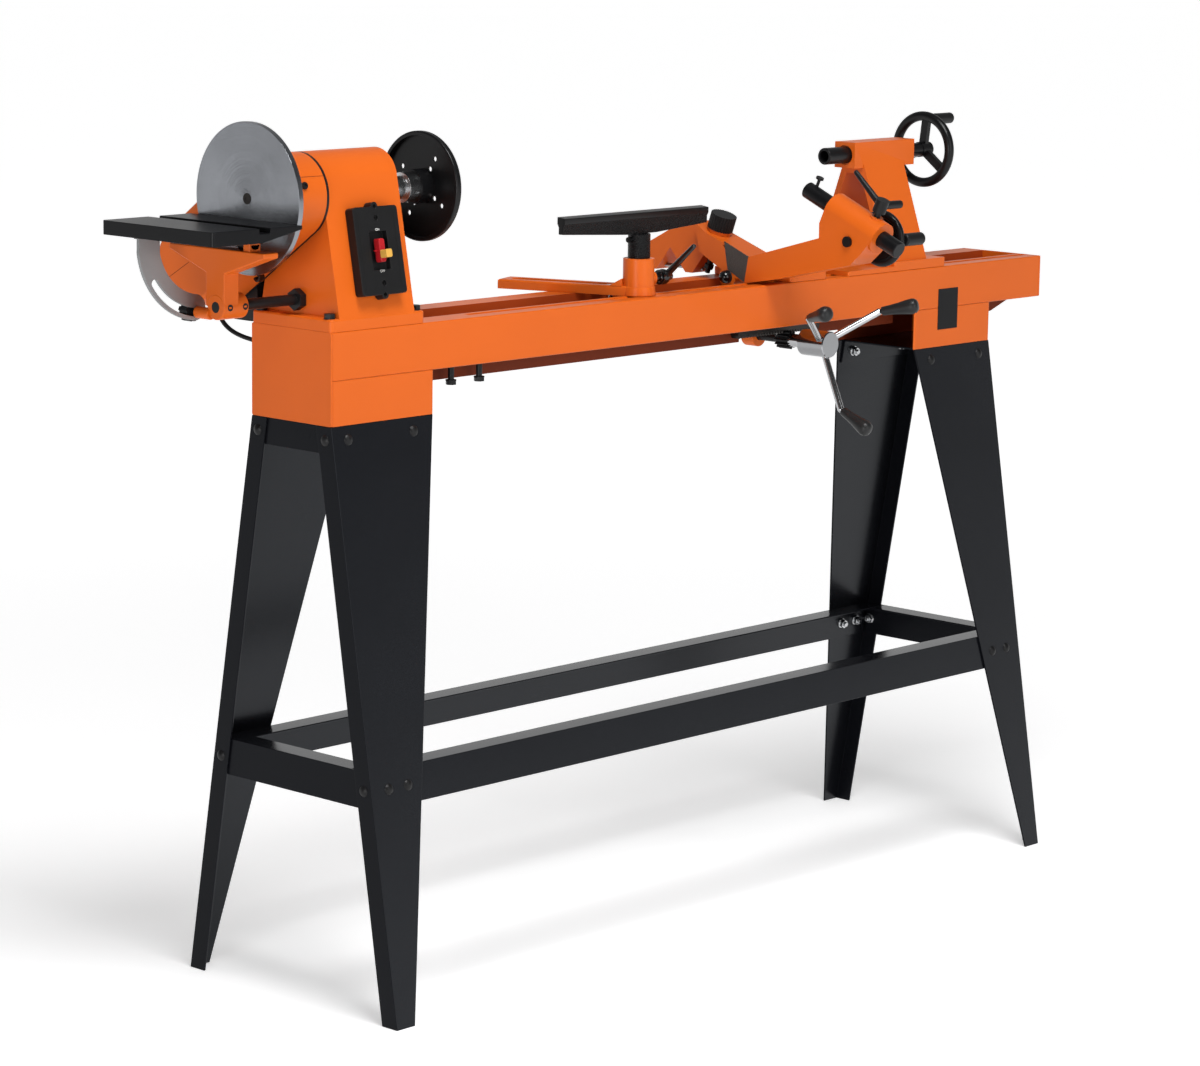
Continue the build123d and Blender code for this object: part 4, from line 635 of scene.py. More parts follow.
@dataclass
class Studio:
    """Floor, light and camera of the picture."""

    target: tuple[float, float, float] = (-104.4, 0.0, 580.4)
    azimuth: float = -47.0
    elevation: float = 10.056
    roll: float = 0.82
    distance: float = 5.6299
    lens: float = 114.649
    sensor: float = 36.0
    sight: float = 300.0
    floor_size: float = 160.0
    floor_dark: Colour = (0.86, 0.86, 0.865)
    floor_light: Colour = (0.88, 0.88, 0.885)
    floor_roughness: float = 0.7
    floor_gloss: float = 0.1
    tone_scale: float = 0.6
    near_glow: float = 0.42
    far_glow: float = 0.83
    glow_start: float = 1.0
    glow_end: float = 4.5
    horizon: float = 1.0
    zenith: float = 0.3
    fade_height: float = 0.45
    front: float = 0.22
    rear: tuple[float, float, float] = (0.67, 0.74, 0.0)
    rear_start: float = -0.2
    rear_full: float = 0.8
    lamp_aim: tuple[float, float, float] = (-50.0, 0.0, 850.0)
    lamps: tuple[Lamp, ...] = (
        Lamp("key_light", (-0.3, -4.6, 1.9), 3.0, 54.0),
        Lamp("top_light", (-0.9, -1.5, 3.9), 1.8, 126.0),
        Lamp("side_light", (-4.3, -1.7, 1.0), 1.6, 52.0),
    )

    def camera(self) -> None:
        """Makes the camera at the photograph's angle."""
        turn, rise = math.radians(self.azimuth), math.radians(self.elevation)
        back = Vector(
            (
                math.sin(turn) * math.cos(rise),
                -math.cos(turn) * math.cos(rise),
                math.sin(rise),
            )
        )
        right = Vector((math.cos(turn), math.sin(turn), 0.0))
        up = back.cross(right)
        lean = math.radians(self.roll)
        across = right * math.cos(lean) + up * math.sin(lean)
        above = up * math.cos(lean) - right * math.sin(lean)
        data = bpy.data.cameras.new("camera")
        data.sensor_width = self.sensor
        data.lens = self.lens
        data.clip_end = self.sight
        camera = bpy.data.objects.new("camera", data)
        turned = Matrix((across, above, back)).transposed().to_4x4()
        camera.matrix_world = Matrix.Translation(mm(*self.target) + back * self.distance) @ turned
        bpy.context.scene.collection.objects.link(camera)
        bpy.context.scene.camera = camera

    def floor(self) -> None:
        """Makes the pale floor."""
        made = bmesh.new()
        bmesh.ops.create_grid(made, x_segments=1, y_segments=1, size=self.floor_size / 2)
        mesh = bpy.data.meshes.new("floor")
        made.to_mesh(mesh)
        made.free()
        floor = bpy.data.objects.new("floor", mesh)
        bpy.context.scene.collection.objects.link(floor)
        shade = Shade("pale_floor")
        tone = shade.noise(self.tone_scale)
        reach = shade.limit(
            shade.vector("LENGTH", {0: shade.place()}, "Value"), self.glow_start, self.glow_end
        )
        floor.data.materials.append(
            shade.surface(
                {
                    "Base Color": shade.blend(tone, self.floor_dark, self.floor_light),
                    "Roughness": self.floor_roughness,
                    "Specular IOR Level": self.floor_gloss,
                    "Emission Color": shade.blend(reach, (self.near_glow,) * 3, (self.far_glow,) * 3),
                    "Emission Strength": 1.0,
                }
            )
        )

    def lamp(self, lamp: Lamp) -> None:
        """Makes one soft box that faces the machine.

        Args:
            lamp: its place, width and power.
        """
        data = bpy.data.lights.new(lamp.name, "AREA")
        data.shape = "DISK"
        data.size = lamp.size
        data.energy = lamp.power
        made = bpy.data.objects.new(lamp.name, data)
        way = mm(*self.lamp_aim) - Vector(lamp.at)
        turned = way.to_track_quat("-Z", "Y").to_matrix().to_4x4()
        made.matrix_world = Matrix.Translation(lamp.at) @ turned
        bpy.context.scene.collection.objects.link(made)

    def light(self) -> None:
        """Makes the sky and the soft boxes."""
        shade = Shade("studio", sky=True)
        way = shade.node("ShaderNodeTexCoord", outlet="Generated")
        height = shade.node("ShaderNodeSeparateXYZ", {}, {0: way}, "Z")
        back = shade.vector("DOT_PRODUCT", {0: way, 1: self.rear}, "Value")
        fall = shade.limit(height, 0.0, self.fade_height) * (self.zenith - self.horizon) + self.horizon
        room = shade.limit(back, self.rear_start, self.rear_full) * (1.0 - self.front) + self.front
        white = (1.0, 1.0, 1.0, 1.0)
        sky = shade.node("ShaderNodeBackground", {}, {"Color": white, "Strength": fall * room})
        bpy.context.scene.world = shade.close(sky)
        for lamp in self.lamps:
            self.lamp(lamp)

    def build(self) -> None:
        """Makes the whole stage."""
        settings = bpy.context.scene.view_settings
        settings.view_transform = "Standard"
        self.floor()
        self.light()
        self.camera()


# Pieces


@dataclass(frozen=True)
class Patch:
    """Faces of a piece that get a finish of their own."""

    finish: bpy.types.Material
    holds: Callable[[Vector, Vector], bool]


class Piece:
    """One piece of the scene, drawn with bmesh and set on a body of the frame.

    Points and directions are in metres, as in the frame, and plain lengths in millimetres.
    """

    SHARP = math.radians(34.0)
    FLAT = math.radians(0.4)
    WELD = 2e-6
    STEPS = 28
    RINGS = 18
    SUNK = 0.6
    ROOTED = 1.0

    def __init__(self, name: str, node: str) -> None:
        """Starts an empty piece.

        Args:
            name: name of the piece.
            node: CAD node whose body it rides on.
        """
        self.name = name
        self.node = node
        self.made = bmesh.new()

    def turned(self, start: Vector, end: Vector) -> Matrix:
        """Finds how a shape drawn about the upright lies between two points.

        Args:
            start: middle of the shape's lower end.
            end: middle of its upper end.

        Returns:
            Matrix that lays the shape there.
        """
        way = (end - start).normalized()
        turn = Axis.UP.way.rotation_difference(way).to_matrix().to_4x4()
        return Matrix.Translation((start + end) / 2) @ turn

    def rod(
        self, start: Vector, end: Vector, radius: float, sides: int = 24, tip: float | None = None
    ) -> None:
        """Adds a round or many-sided bar.

        Args:
            start: middle of the first end.
            end: middle of the second end.
            radius: radius at the first end, in millimetres.
            sides: number of sides.
            tip: radius at the second end, or the same.
        """
        bmesh.ops.create_cone(
            self.made,
            cap_ends=True,
            segments=sides,
            radius1=radius * MM,
            radius2=(radius if tip is None else tip) * MM,
            depth=(end - start).length,
            matrix=self.turned(start, end),
        )

    def slab(self, middle: Vector, size: Vector, turn: Matrix | None = None) -> None:
        """Adds a block.

        Args:
            middle: middle of the block.
            size: its three sides, in metres.
            turn: rotation of the block.
        """
        stretch = Matrix.Diagonal((*size, 1.0))
        around = turn.to_4x4() if turn is not None else Matrix.Identity(4)
        bmesh.ops.create_cube(self.made, size=1.0, matrix=Matrix.Translation(middle) @ around @ stretch)

    def plate(self, corners: Sequence[Vector], depth: Vector) -> None:
        """Adds a flat plate of any outline.

        Args:
            corners: corners of one side, in order.
            depth: way to the other side, in metres.
        """
        near = [self.made.verts.new(corner) for corner in corners]
        face = self.made.faces.new(near)
        grown = bmesh.ops.extrude_face_region(self.made, geom=[face], use_keep_orig=True)["geom"]
        moved = [part for part in grown if isinstance(part, bmesh.types.BMVert)]
        bmesh.ops.translate(self.made, verts=moved, vec=depth)

    def ball(self, middle: Vector, radius: float) -> None:
        """Adds a ball.

        Args:
            middle: middle of the ball.
            radius: its radius, in millimetres.
        """
        bmesh.ops.create_uvsphere(
            self.made,
            u_segments=self.STEPS,
            v_segments=self.RINGS,
            radius=radius * MM,
            matrix=Matrix.Translation(middle),
        )

    def lathe(self, start: Vector, way: Vector, outline: Sequence[tuple[float, float]]) -> None:
        """Adds a turned shape.

        Args:
            start: point on the axis.
            way: direction of the axis.
            outline: place along the axis and radius of each corner, in millimetres.
        """
        before = set(self.made.verts)
        line = [self.made.verts.new((radius * MM, 0.0, along * MM)) for along, radius in outline]
        edges = [self.made.edges.new(pair) for pair in zip(line, line[1:])]
        bmesh.ops.spin(
            self.made,
            geom=line + edges,
            cent=(0.0, 0.0, 0.0),
            axis=(0.0, 0.0, 1.0),
            angle=math.tau,
            steps=self.STEPS,
            use_merge=True,
        )
        fresh = [vertex for vertex in self.made.verts if vertex not in before]
        bmesh.ops.remove_doubles(self.made, verts=fresh, dist=self.WELD)
        fresh = [vertex for vertex in self.made.verts if vertex not in before]
        turn = Axis.UP.way.rotation_difference(way).to_matrix().to_4x4()
        bmesh.ops.transform(self.made, matrix=Matrix.Translation(start) @ turn, verts=fresh)

    def cut(self, at: Vector, off: Vector) -> None:
        """Cuts away what lies beyond a plane and closes the cut.

        Args:
            at: point on the plane.
            off: direction of the side that goes.
        """
        everything = [*self.made.verts, *self.made.edges, *self.made.faces]
        bmesh.ops.bisect_plane(
            self.made, geom=everything, dist=self.WELD, plane_co=at, plane_no=off, clear_outer=True
        )
        rim = [edge for edge in self.made.edges if edge.is_boundary]
        bmesh.ops.holes_fill(self.made, edges=rim, sides=0)

    def screw(self, seat: Vector, out: Vector, radius: float, head: float, socket: float) -> None:
        """Adds a round screw head with a socket in its top.

        Args:
            seat: middle of the head's underside.
            out: direction that the head faces.
            radius: radius of the head, in millimetres.
            head: height of the head, in millimetres.
            socket: radius of the socket, in millimetres.
        """
        before = set(self.made.faces)
        self.rod(seat - out * self.ROOTED * MM, seat + out * head * MM, radius)
        fresh = [face for face in self.made.faces if face not in before]
        top = max(fresh, key=lambda face: face.calc_center_median().dot(out))
        bmesh.ops.inset_individual(self.made, faces=[top], thickness=(radius - socket) * MM)
        sunk = bmesh.ops.extrude_discrete_faces(self.made, faces=[top])["faces"][0]
        bmesh.ops.translate(self.made, verts=sunk.verts, vec=-out * head * self.SUNK * MM)

    def copied(self, node: str) -> None:
        """Takes over a CAD node's surface, with its triangles joined.

        Args:
            node: name of the node.
        """
        self.made.from_mesh(frame["nodes"][node].data)
        bmesh.ops.remove_doubles(self.made, verts=self.made.verts, dist=self.WELD)
        bmesh.ops.dissolve_limit(
            self.made, angle_limit=self.FLAT, verts=self.made.verts, edges=self.made.edges
        )

    def soften(self, width: float, segments: int = 2) -> None:
        """Rounds the sharp edges.

        Args:
            width: width of the rounding, in millimetres.
            segments: number of steps.
        """
        sharp = [e for e in self.made.edges if e.is_manifold and e.calc_face_angle() > self.SHARP]
        bmesh.ops.bevel(
            self.made,
            geom=sharp,
            offset=width * MM,
            affect="EDGES",
            segments=segments,
            profile=0.5,
            clamp_overlap=True,
            material=-1,
        )

    def done(
        self, finish: bpy.types.Material, patches: Sequence[Patch] = (), instead: bool = False
    ) -> None:
        """Closes the piece and sets it on its body.

        Args:
            finish: finish of the piece.
            patches: faces with a finish of their own.
            instead: whether it stands for its CAD node.
        """
        bmesh.ops.recalc_face_normals(self.made, faces=self.made.faces)
        for face in self.made.faces:
            face.smooth = True
            middle = face.calc_center_median()
            for count, patch in enumerate(patches, start=1):
                if patch.holds(middle, face.normal):
                    face.material_index = count
        for edge in self.made.edges:
            edge.smooth = not edge.is_manifold or edge.calc_face_angle() < self.SHARP
        mesh = bpy.data.meshes.new(self.name)
        self.made.to_mesh(mesh)
        self.made.free()
        for material in (finish, *(patch.finish for patch in patches)):
            mesh.materials.append(material)
        piece = bpy.data.objects.new(self.name, mesh)
        bpy.context.scene.collection.objects.link(piece)
        even = piece.modifiers.new("even_normals", "WEIGHTED_NORMAL")
        even.keep_sharp = True
        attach(piece, body_of(self.node))
        slot_of(self.node)
        if instead:
            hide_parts(self.node)
        LOG.info("made %s", self.name)


def skin(
    finish: bpy.types.Material,
    width: float,
    *nodes: str,
    patches: Sequence[Patch] = (),
    segments: int = 2,
) -> None:
    """Shows CAD nodes with their sharp edges rounded.

    Args:
        finish: finish of the nodes.
        width: width of the rounding, in millimetres.
        nodes: names of the nodes.
        patches: faces with a finish of their own.
        segments: steps of the rounding.
    """
    for node in nodes:
        piece = Piece(f"{node}_skin", node)
        piece.copied(node)
        piece.soften(width, segments)
        piece.done(finish, patches, instead=True)


def dress(material: bpy.types.Material, *nodes: str) -> None:
    """Gives CAD nodes their finish.

    Args:
        material: finish.
        nodes: names of the nodes.
    """
    for node in nodes:
        mesh = frame["nodes"][node].data
        mesh.materials.clear()
        mesh.materials.append(material)
        LOG.info("dressed %s", node)


# Sub-assemblies


@dataclass
class Stand:
    """Folded legs, trays and stretchers, with the nuts behind their bolts."""

    palette: Palette
    grip: float = 6.0
    washer_radius: float = 8.2
    washer: float = 1.4
    nut_radius: float = 7.4
    nut: float = 6.0
    stud_radius: float = 3.9
    stud: float = 3.5
    sheet: float = 3.4
    sheet_edge: float = 0.9
    bolt_edge: float = 0.4
    nut_edge: float = 0.35
    facing: float = 0.7
    head_corners: int = 8

    def faces(self) -> tuple[Patch, Patch]:
        """Finds the upper faces, which get a painted sheen, and the left ones, which get painted shade as a
        duller gleam.

        Returns:
            Patch of the upper faces and patch of the left faces.
        """
        return (
            Patch(self.palette.stand_painted_sheen, lambda at, way: way.z > self.facing),
            Patch(self.palette.stand_painted_dull, lambda at, way: way.x < -self.facing),
        )

    def trays(self) -> None:
        """Makes the trays without a wall on their inner side."""
        for node in ("leg_tray_left", "leg_tray_right"):
            low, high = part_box(node)
            off = Axis.ALONG.way if high.x < 0.0 else -Axis.ALONG.way
            edge = high if high.x < 0.0 else low
            piece = Piece(f"{node}_skin", node)
            piece.copied(node)
            piece.cut(edge - off * self.sheet * MM, off)
            piece.soften(self.sheet_edge)
            piece.done(self.palette.stand, self.faces(), instead=True)

    def seats(self) -> Iterable[tuple[Vector, Vector]]:
        """Finds the seats of the bolt heads.

        Returns:
            Middle and outward direction of each head's flat side.
        """
        heads = bmesh.new()
        heads.from_mesh(frame["nodes"]["stand_bolts"].data)
        bmesh.ops.remove_doubles(heads, verts=heads.verts, dist=Piece.WELD)
        bmesh.ops.dissolve_limit(heads, angle_limit=Piece.FLAT, verts=heads.verts, edges=heads.edges)
        for face in heads.faces:
            if len(face.verts) > self.head_corners:
                yield face.calc_center_median(), -face.normal
        heads.free()

    def nuts(self) -> None:
        """Makes the washers, nuts and bolt ends inside the stand."""
        piece = Piece("stand_nuts", "stand_bolts")
        for seat, out in list(self.seats()):
            inner = seat - out * self.grip * MM
            under = inner - out * self.washer * MM
            top = under - out * self.nut * MM
            piece.rod(inner, under, self.washer_radius)
            piece.rod(under, top, self.nut_radius, sides=6)
            piece.rod(top, top - out * self.stud * MM, self.stud_radius, sides=16)
        piece.soften(self.nut_edge, segments=1)
        piece.done(self.palette.zinc)

    def build(self) -> None:
        """Dresses the stand."""
        sheets = [n for n in frame["nodes"] if n.startswith(("leg_", "stretcher_"))]
        plain = [n for n in sheets if not n.startswith("leg_tray")]
        skin(self.palette.stand, self.sheet_edge, *plain, patches=self.faces())
        self.trays()
        skin(self.palette.plastic, self.bolt_edge, "stand_bolts")
        self.nuts()


@dataclass
class Bed:
    """Rails on their two boxes, the rack and the plates at the ends."""

    palette: Palette
    plate_x: float = 609.0
    plate_z: float = 866.0
    plate_width: float = 50.0
    plate_height: float = 64.5
    plate_thick: float = 0.5
    plate_edge: float = 0.2
    sheet_edge: float = 0.9
    bolt_edge: float = 0.5
    wall: float = 2.0
    gland_proud: float = 0.3
    facing: float = 0.9
    turned_in: float = 0.3

    def data_plate(self) -> None:
        """Makes the bare dark plate at the bed's right front."""
        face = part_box("bed_rail_front")[0].y / MM
        piece = Piece("data_plate", "bed_rail_front")
        middle = mm(self.plate_x, face - self.plate_thick / 2, self.plate_z)
        piece.slab(middle, mm(self.plate_width, self.plate_thick, self.plate_height))
        piece.soften(self.plate_edge, segments=1)
        piece.done(self.palette.table)

    def build(self) -> None:
        """Dresses the bed."""
        box_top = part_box("support_box_left")[1].z + self.wall * MM
        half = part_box("bed_rail_rear")[1].y
        inner_half = half - self.wall * MM
        # Painted shade: the rails' lowest faces, inside their outer sides, get the dark red.
        shaded = Patch(self.palette.shade_and_seam_red, lambda at, way: at.z < box_top and abs(at.y) < inner_half)
        gland = Patch(self.palette.plastic, lambda at, way: at.y > half + self.gland_proud * MM)
        # Painted shade: the boxes' downward faces and the faces that look into them get the dark red.
        inside = Patch(
            self.palette.shade_and_seam_red,
            lambda at, way: way.z < -self.facing or (abs(at.y) < inner_half and way.y * at.y < 0.0),
        )
        # Painted shade: the rails' faces that look towards each other get the darker orange.
        between = Patch(
            self.palette.inner,
            lambda at, way: way.y * at.y < -self.turned_in * abs(at.y) and abs(at.y) < inner_half,
        )
        orange = self.palette.orange
        rails = ("bed_rail_front", "bed_rail_rear")
        boxes = ("support_box_left", "support_box_right")
        skin(orange, self.sheet_edge, *rails, patches=(between, shaded))
        skin(orange, self.sheet_edge, *boxes, patches=(gland, inside))
        skin(orange, self.sheet_edge, "end_cover", "bed_end_plate")
        skin(self.palette.plastic, self.bolt_edge, "bed_bolts")
        dress(self.palette.oiled, "feed_rack")
        self.data_plate()


@dataclass
class Lead:
    """Motor lead along the corners of its CAD route, with its strain reliefs."""

    palette: Palette
    places: tuple[tuple[float, float], ...] = (
        (184.2, 978.3),
        (206.0, 958.0),
        (196.0, 917.0),
        (140.0, 899.0),
        (79.0, 899.0),
    )
    radius: float = 3.2
    boot: float = 24.0
    boot_root: float = 6.4
    boot_tip: float = 4.0
    gland: float = 7.6
    gland_head: float = 3.0
    gland_root: float = 1.0
    rib: float = 0.4
    order: int = 3
    curve_steps: int = 24
    tube_steps: int = 5

    def spline(self, name: str, radius: float) -> bpy.types.Object:
        """Makes a curve along the route.

        Args:
            name: name of the curve.
            radius: radius of its tube in millimetres, or 0 for the bare line.

        Returns:
            The curve's object.
        """
        data = bpy.data.curves.new(name, "CURVE")
        data.dimensions = "3D"
        data.bevel_depth = radius * MM
        data.bevel_resolution = self.tube_steps
        data.resolution_u = self.curve_steps
        data.use_fill_caps = radius > 0.0
        line = data.splines.new("NURBS")
        line.points.add(len(self.places) - 1)
        across = frame_centre("motor_lead").x
        for point, (y, z) in zip(line.points, self.places):
            point.co = (across, y * MM, z * MM, 1.0)
        line.order_u = self.order
        line.use_endpoint_u = True
        return bpy.data.objects.new(name, data)

    def relief(self, piece: Piece, route: Sequence[Vector]) -> None:
        """Adds a ribbed, tapered strain relief at the start of a route.

        Args:
            piece: piece that it is added to.
            route: points of the lead from the housing outward.
        """
        out = (route[1] - route[0]).normalized()
        head = route[0] + out * self.gland_head * MM
        piece.rod(route[0] - out * self.gland_root * MM, head, self.gland, sides=6)
        reach, last = 0.0, route[0]
        for point in route[1:]:
            ahead = reach + (point - last).length / MM
            if ahead > self.boot:
                break
            fall = (self.boot_root - self.boot_tip) / self.boot
            thick = self.boot_root - fall * reach
            thin = self.boot_root - fall * ahead - self.rib
            piece.rod(last, point, thick, sides=20, tip=thin)
            reach, last = ahead, point

    def build(self) -> None:
        """Makes the lead."""
        cord = self.spline("motor_lead_cord", self.radius)
        cord.data.materials.append(self.palette.rubber)
        bpy.context.scene.collection.objects.link(cord)
        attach(cord, body_of("motor_lead"))
        slot_of("motor_lead")
        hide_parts("motor_lead")
        start = Vector(cord.data.splines[0].points[0].co[:3])
        2 * self.radius * MM
        line = self.spline("motor_lead_line", 0.0)
        traced = bpy.data.meshes.new_from_object(line)
        route = [vertex.co.copy() for vertex in traced.vertices]
        bpy.data.objects.remove(line)
        bpy.data.meshes.remove(traced)
        piece = Piece("motor_lead_reliefs", "motor_lead")
        self.relief(piece, route)
        self.relief(piece, route[::-1])
        piece.done(self.palette.rubber)


@dataclass
class Drive:
    """Headstock with its spindle, belt cover and motor."""

    palette: Palette
    screw_angle: float = 162.0
    screw_radius: float = 5.0
    screw_head: float = 3.0
    screw_socket: float = 2.4
    seam_angle: float = 150.0
    seam_width: float = 0.7
    seam_start: tuple[float, float] = (131.0, 1015.7)
    seam_end: tuple[float, float] = (172.0, 992.0)
    disc_screw: float = 7.6
    disc_socket: float = 3.6
    side_screw: tuple[float, float] = (59.5, 997.0)
    side_radius: float = 6.5
    side_head: float = 9.0
    side_socket: float = 3.0
    side_edge: float = 0.8
    screw_edge: float = 0.5
    seam_depth: float = 0.2
    seam_inset: float = 2.0
    disc_head: float = 0.6
    casting_edge: float = 1.6
    motor_edge: float = 1.0
    plate_edge: float = 0.6
    turned_edge: float = 0.5

    def cover_side(self, angle: float) -> tuple[Vector, Vector]:
        """Point and outward direction on the belt cover's round side.

        Args:
            angle: angle about the spindle in degrees.

        Returns:
            Point halfway along the cover, and its direction.
        """
        low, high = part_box("belt_cover")
        axis_z = frame_centre("spindle").z
        turn = math.radians(angle)
        out = Vector((0.0, math.cos(turn), math.sin(turn)))
        return Vector(((low.x + high.x) / 2, 0.0, axis_z)) + out * (high.z - axis_z), out

    def cover_details(self) -> None:
        """Makes the cover's screw and the lines where its sheets meet."""
        low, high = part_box("belt_cover")
        seat, out = self.cover_side(self.screw_angle)
        piece = Piece("belt_cover_screw", "belt_cover")
        piece.screw(seat, out, self.screw_radius, self.screw_head, self.screw_socket)
        piece.soften(self.screw_edge)
        piece.done(self.palette.plastic)
        piece = Piece("headstock_side_screw", "headstock")
        seat = Vector((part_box("headstock")[0].x, self.side_screw[0] * MM, self.side_screw[1] * MM))
        piece.screw(seat, -Axis.ALONG.way, self.side_radius, self.side_head, self.side_socket)
        piece.soften(self.side_edge)
        piece.done(self.palette.gloss)
        piece = Piece("belt_cover_seams", "belt_cover")
        seat, out = self.cover_side(self.seam_angle)
        turn = Matrix.Rotation(math.radians(self.seam_angle - 90.0), 3, "X")
        wide = high.x - low.x - self.seam_inset * MM
        size = Vector((wide, self.seam_width * MM, self.seam_depth * MM))
        piece.slab(seat, size, turn)
        start = Vector((low.x, self.seam_start[0] * MM, self.seam_start[1] * MM))
        end = Vector((low.x, self.seam_end[0] * MM, self.seam_end[1] * MM))
        lean = math.atan2(end.z - start.z, end.y - start.y)
        size = Vector((self.seam_depth * MM, (end - start).length, self.seam_width * MM))
        piece.slab((start + end) / 2, size, Matrix.Rotation(lean, 3, "X"))
        piece.done(self.palette.shade_and_seam_red)

    def disc_details(self) -> None:
        """Makes the dark screw in the middle of the sanding disc."""
        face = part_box("sanding_disc")[0].x
        centre = Vector((face, 0.0, frame_centre("sanding_disc").z))
        piece = Piece("sanding_disc_screw", "sanding_disc")
        piece.screw(centre, -Axis.ALONG.way, self.disc_screw, self.disc_head, self.disc_socket)
        piece.done(self.palette.oiled)

    def build(self) -> None:
        """Dresses the drive."""
        skin(self.palette.orange, self.casting_edge, "headstock", segments=3)
        skin(self.palette.orange, self.plate_edge, "belt_cover")
        skin(self.palette.plastic, self.motor_edge, "motor")
        skin(self.palette.black, self.turned_edge, "faceplate")
        skin(self.palette.zinc, self.turned_edge, "spindle")
        skin(self.palette.disc, self.plate_edge, "sanding_disc")
        dress(self.palette.steel, "spindle_bearings", "spindle_pulley", "motor_pulley")
        dress(self.palette.rubber, "drive_belt", "motor_lead")
        self.cover_details()
        self.disc_details()
        Lead(self.palette).build()


@dataclass
class Switch:
    """Push switch on the headstock's sloping front."""

    palette: Palette
    plate_width: float = 66.0
    plate_height: float = 101.0
    groove: float = 0.8
    screw_pitch: float = 88.0
    screw_radius: float = 3.7
    ear_pitch: float = 119.0
    ear_radius: float = 2.8
    mark_rise: float = 28.0
    mark_size: float = 5.0
    paddle_width: float = 0.54
    paddle_height: float = 0.76
    key_width: float = 0.86
    key_edge: float = 0.5
    box_edge: float = 1.2
    groove_depth: float = 0.4
    screw_sunk: float = 5.0
    screw_head: float = 2.4
    screw_socket: float = 1.6
    ear_socket: float = 1.3
    mark_proud: float = 0.05

    def __post_init__(self) -> None:
        """Finds the middle and the directions of the switch's front."""
        made = bmesh.new()
        made.from_mesh(frame["nodes"]["switch_box"].data)
        front = max(made.faces, key=lambda face: -face.normal.y * face.calc_area())
        self.out = front.normal.copy()
        self.up = self.out.cross(Axis.ALONG.way)
        depth = max(vertex.co.dot(self.out) for vertex in made.verts)
        centre = frame_centre("switch_box")
        self.middle = centre + self.out * (depth - centre.dot(self.out))
        made.free()
        self.turn = Matrix((Axis.ALONG.way, self.up, self.out)).transposed()

    def at(self, across: float, up: float, out: float = 0.0) -> Vector:
        """Point on the front, in millimetres from its middle."""
        return self.middle + (Axis.ALONG.way * across + self.up * up + self.out * out) * MM

    def smaller(self, node: str, finish: bpy.types.Material, wide: float, high: float) -> None:
        """Shows a moving piece of the switch at its photographed size.

        Args:
            node: CAD node.
            finish: its finish.
            wide: share of its width.
            high: share of its height.
        """
        piece = Piece(f"{node}_skin", node)
        piece.copied(node)
        middle = Matrix.Translation(frame_centre(node))
        turn = self.turn.to_4x4()
        shrink = turn @ Matrix.Diagonal((wide, high, 1.0, 1.0)) @ turn.inverted()
        bmesh.ops.transform(
            piece.made, matrix=middle @ shrink @ middle.inverted(), verts=piece.made.verts
        )
        piece.soften(self.key_edge)
        piece.done(finish, instead=True)

    def plate(self) -> None:
        """Makes the border of the front plate and the screws."""
        piece = Piece("switch_plate_border", "switch_box")
        level = mm(self.plate_width, self.groove, self.groove_depth)
        upright = mm(self.groove, self.plate_height, self.groove_depth)
        for side in (-0.5, 0.5):
            piece.slab(self.at(0.0, side * self.plate_height), level, self.turn)
            piece.slab(self.at(side * self.plate_width, 0.0), upright, self.turn)
        piece.done(self.palette.rubber)
        piece = Piece("switch_screws", "switch_box")
        for side in (-0.5, 0.5):
            seat = self.at(0.0, side * self.screw_pitch, -self.screw_sunk)
            piece.screw(seat, self.out, self.screw_radius, self.screw_head, self.screw_socket)
            seat = self.at(0.0, side * self.ear_pitch, -self.screw_sunk)
            piece.screw(seat, self.out, self.ear_radius, self.screw_head, self.ear_socket)
        piece.done(self.palette.rubber)

    def mark(self, name: str, letters: str, rise: float) -> None:
        """Prints a plain word on the front.

        Args:
            name: name of the piece.
            letters: word to print.
            rise: height over the middle in millimetres.
        """
        data = bpy.data.curves.new(name, "FONT")
        data.body = letters
        data.size = self.mark_size * MM
        data.align_x = "CENTER"
        data.align_y = "CENTER"
        data.extrude = self.mark_proud * MM
        typed = bpy.data.objects.new(name, data)
        piece = Piece(name, "switch_box")
        mesh = bpy.data.meshes.new_from_object(typed)
        mesh.transform(Matrix.Translation(self.at(0.0, rise)) @ self.turn.to_4x4())
        piece.made.from_mesh(mesh)
        bpy.data.objects.remove(typed)
        bpy.data.meshes.remove(mesh)
        piece.done(self.palette.print)

    def build(self) -> None:
        """Dresses the switch."""
        skin(self.palette.plastic, self.box_edge, "switch_box", segments=3)
        self.smaller("switch_paddle", self.palette.red, self.paddle_width, self.paddle_height)
        self.smaller("switch_key", self.palette.yellow, self.key_width, self.key_width)
        self.plate()
        self.mark("switch_on_mark", "ON", self.mark_rise)
        self.mark("switch_off_mark", "OFF", -self.mark_rise)


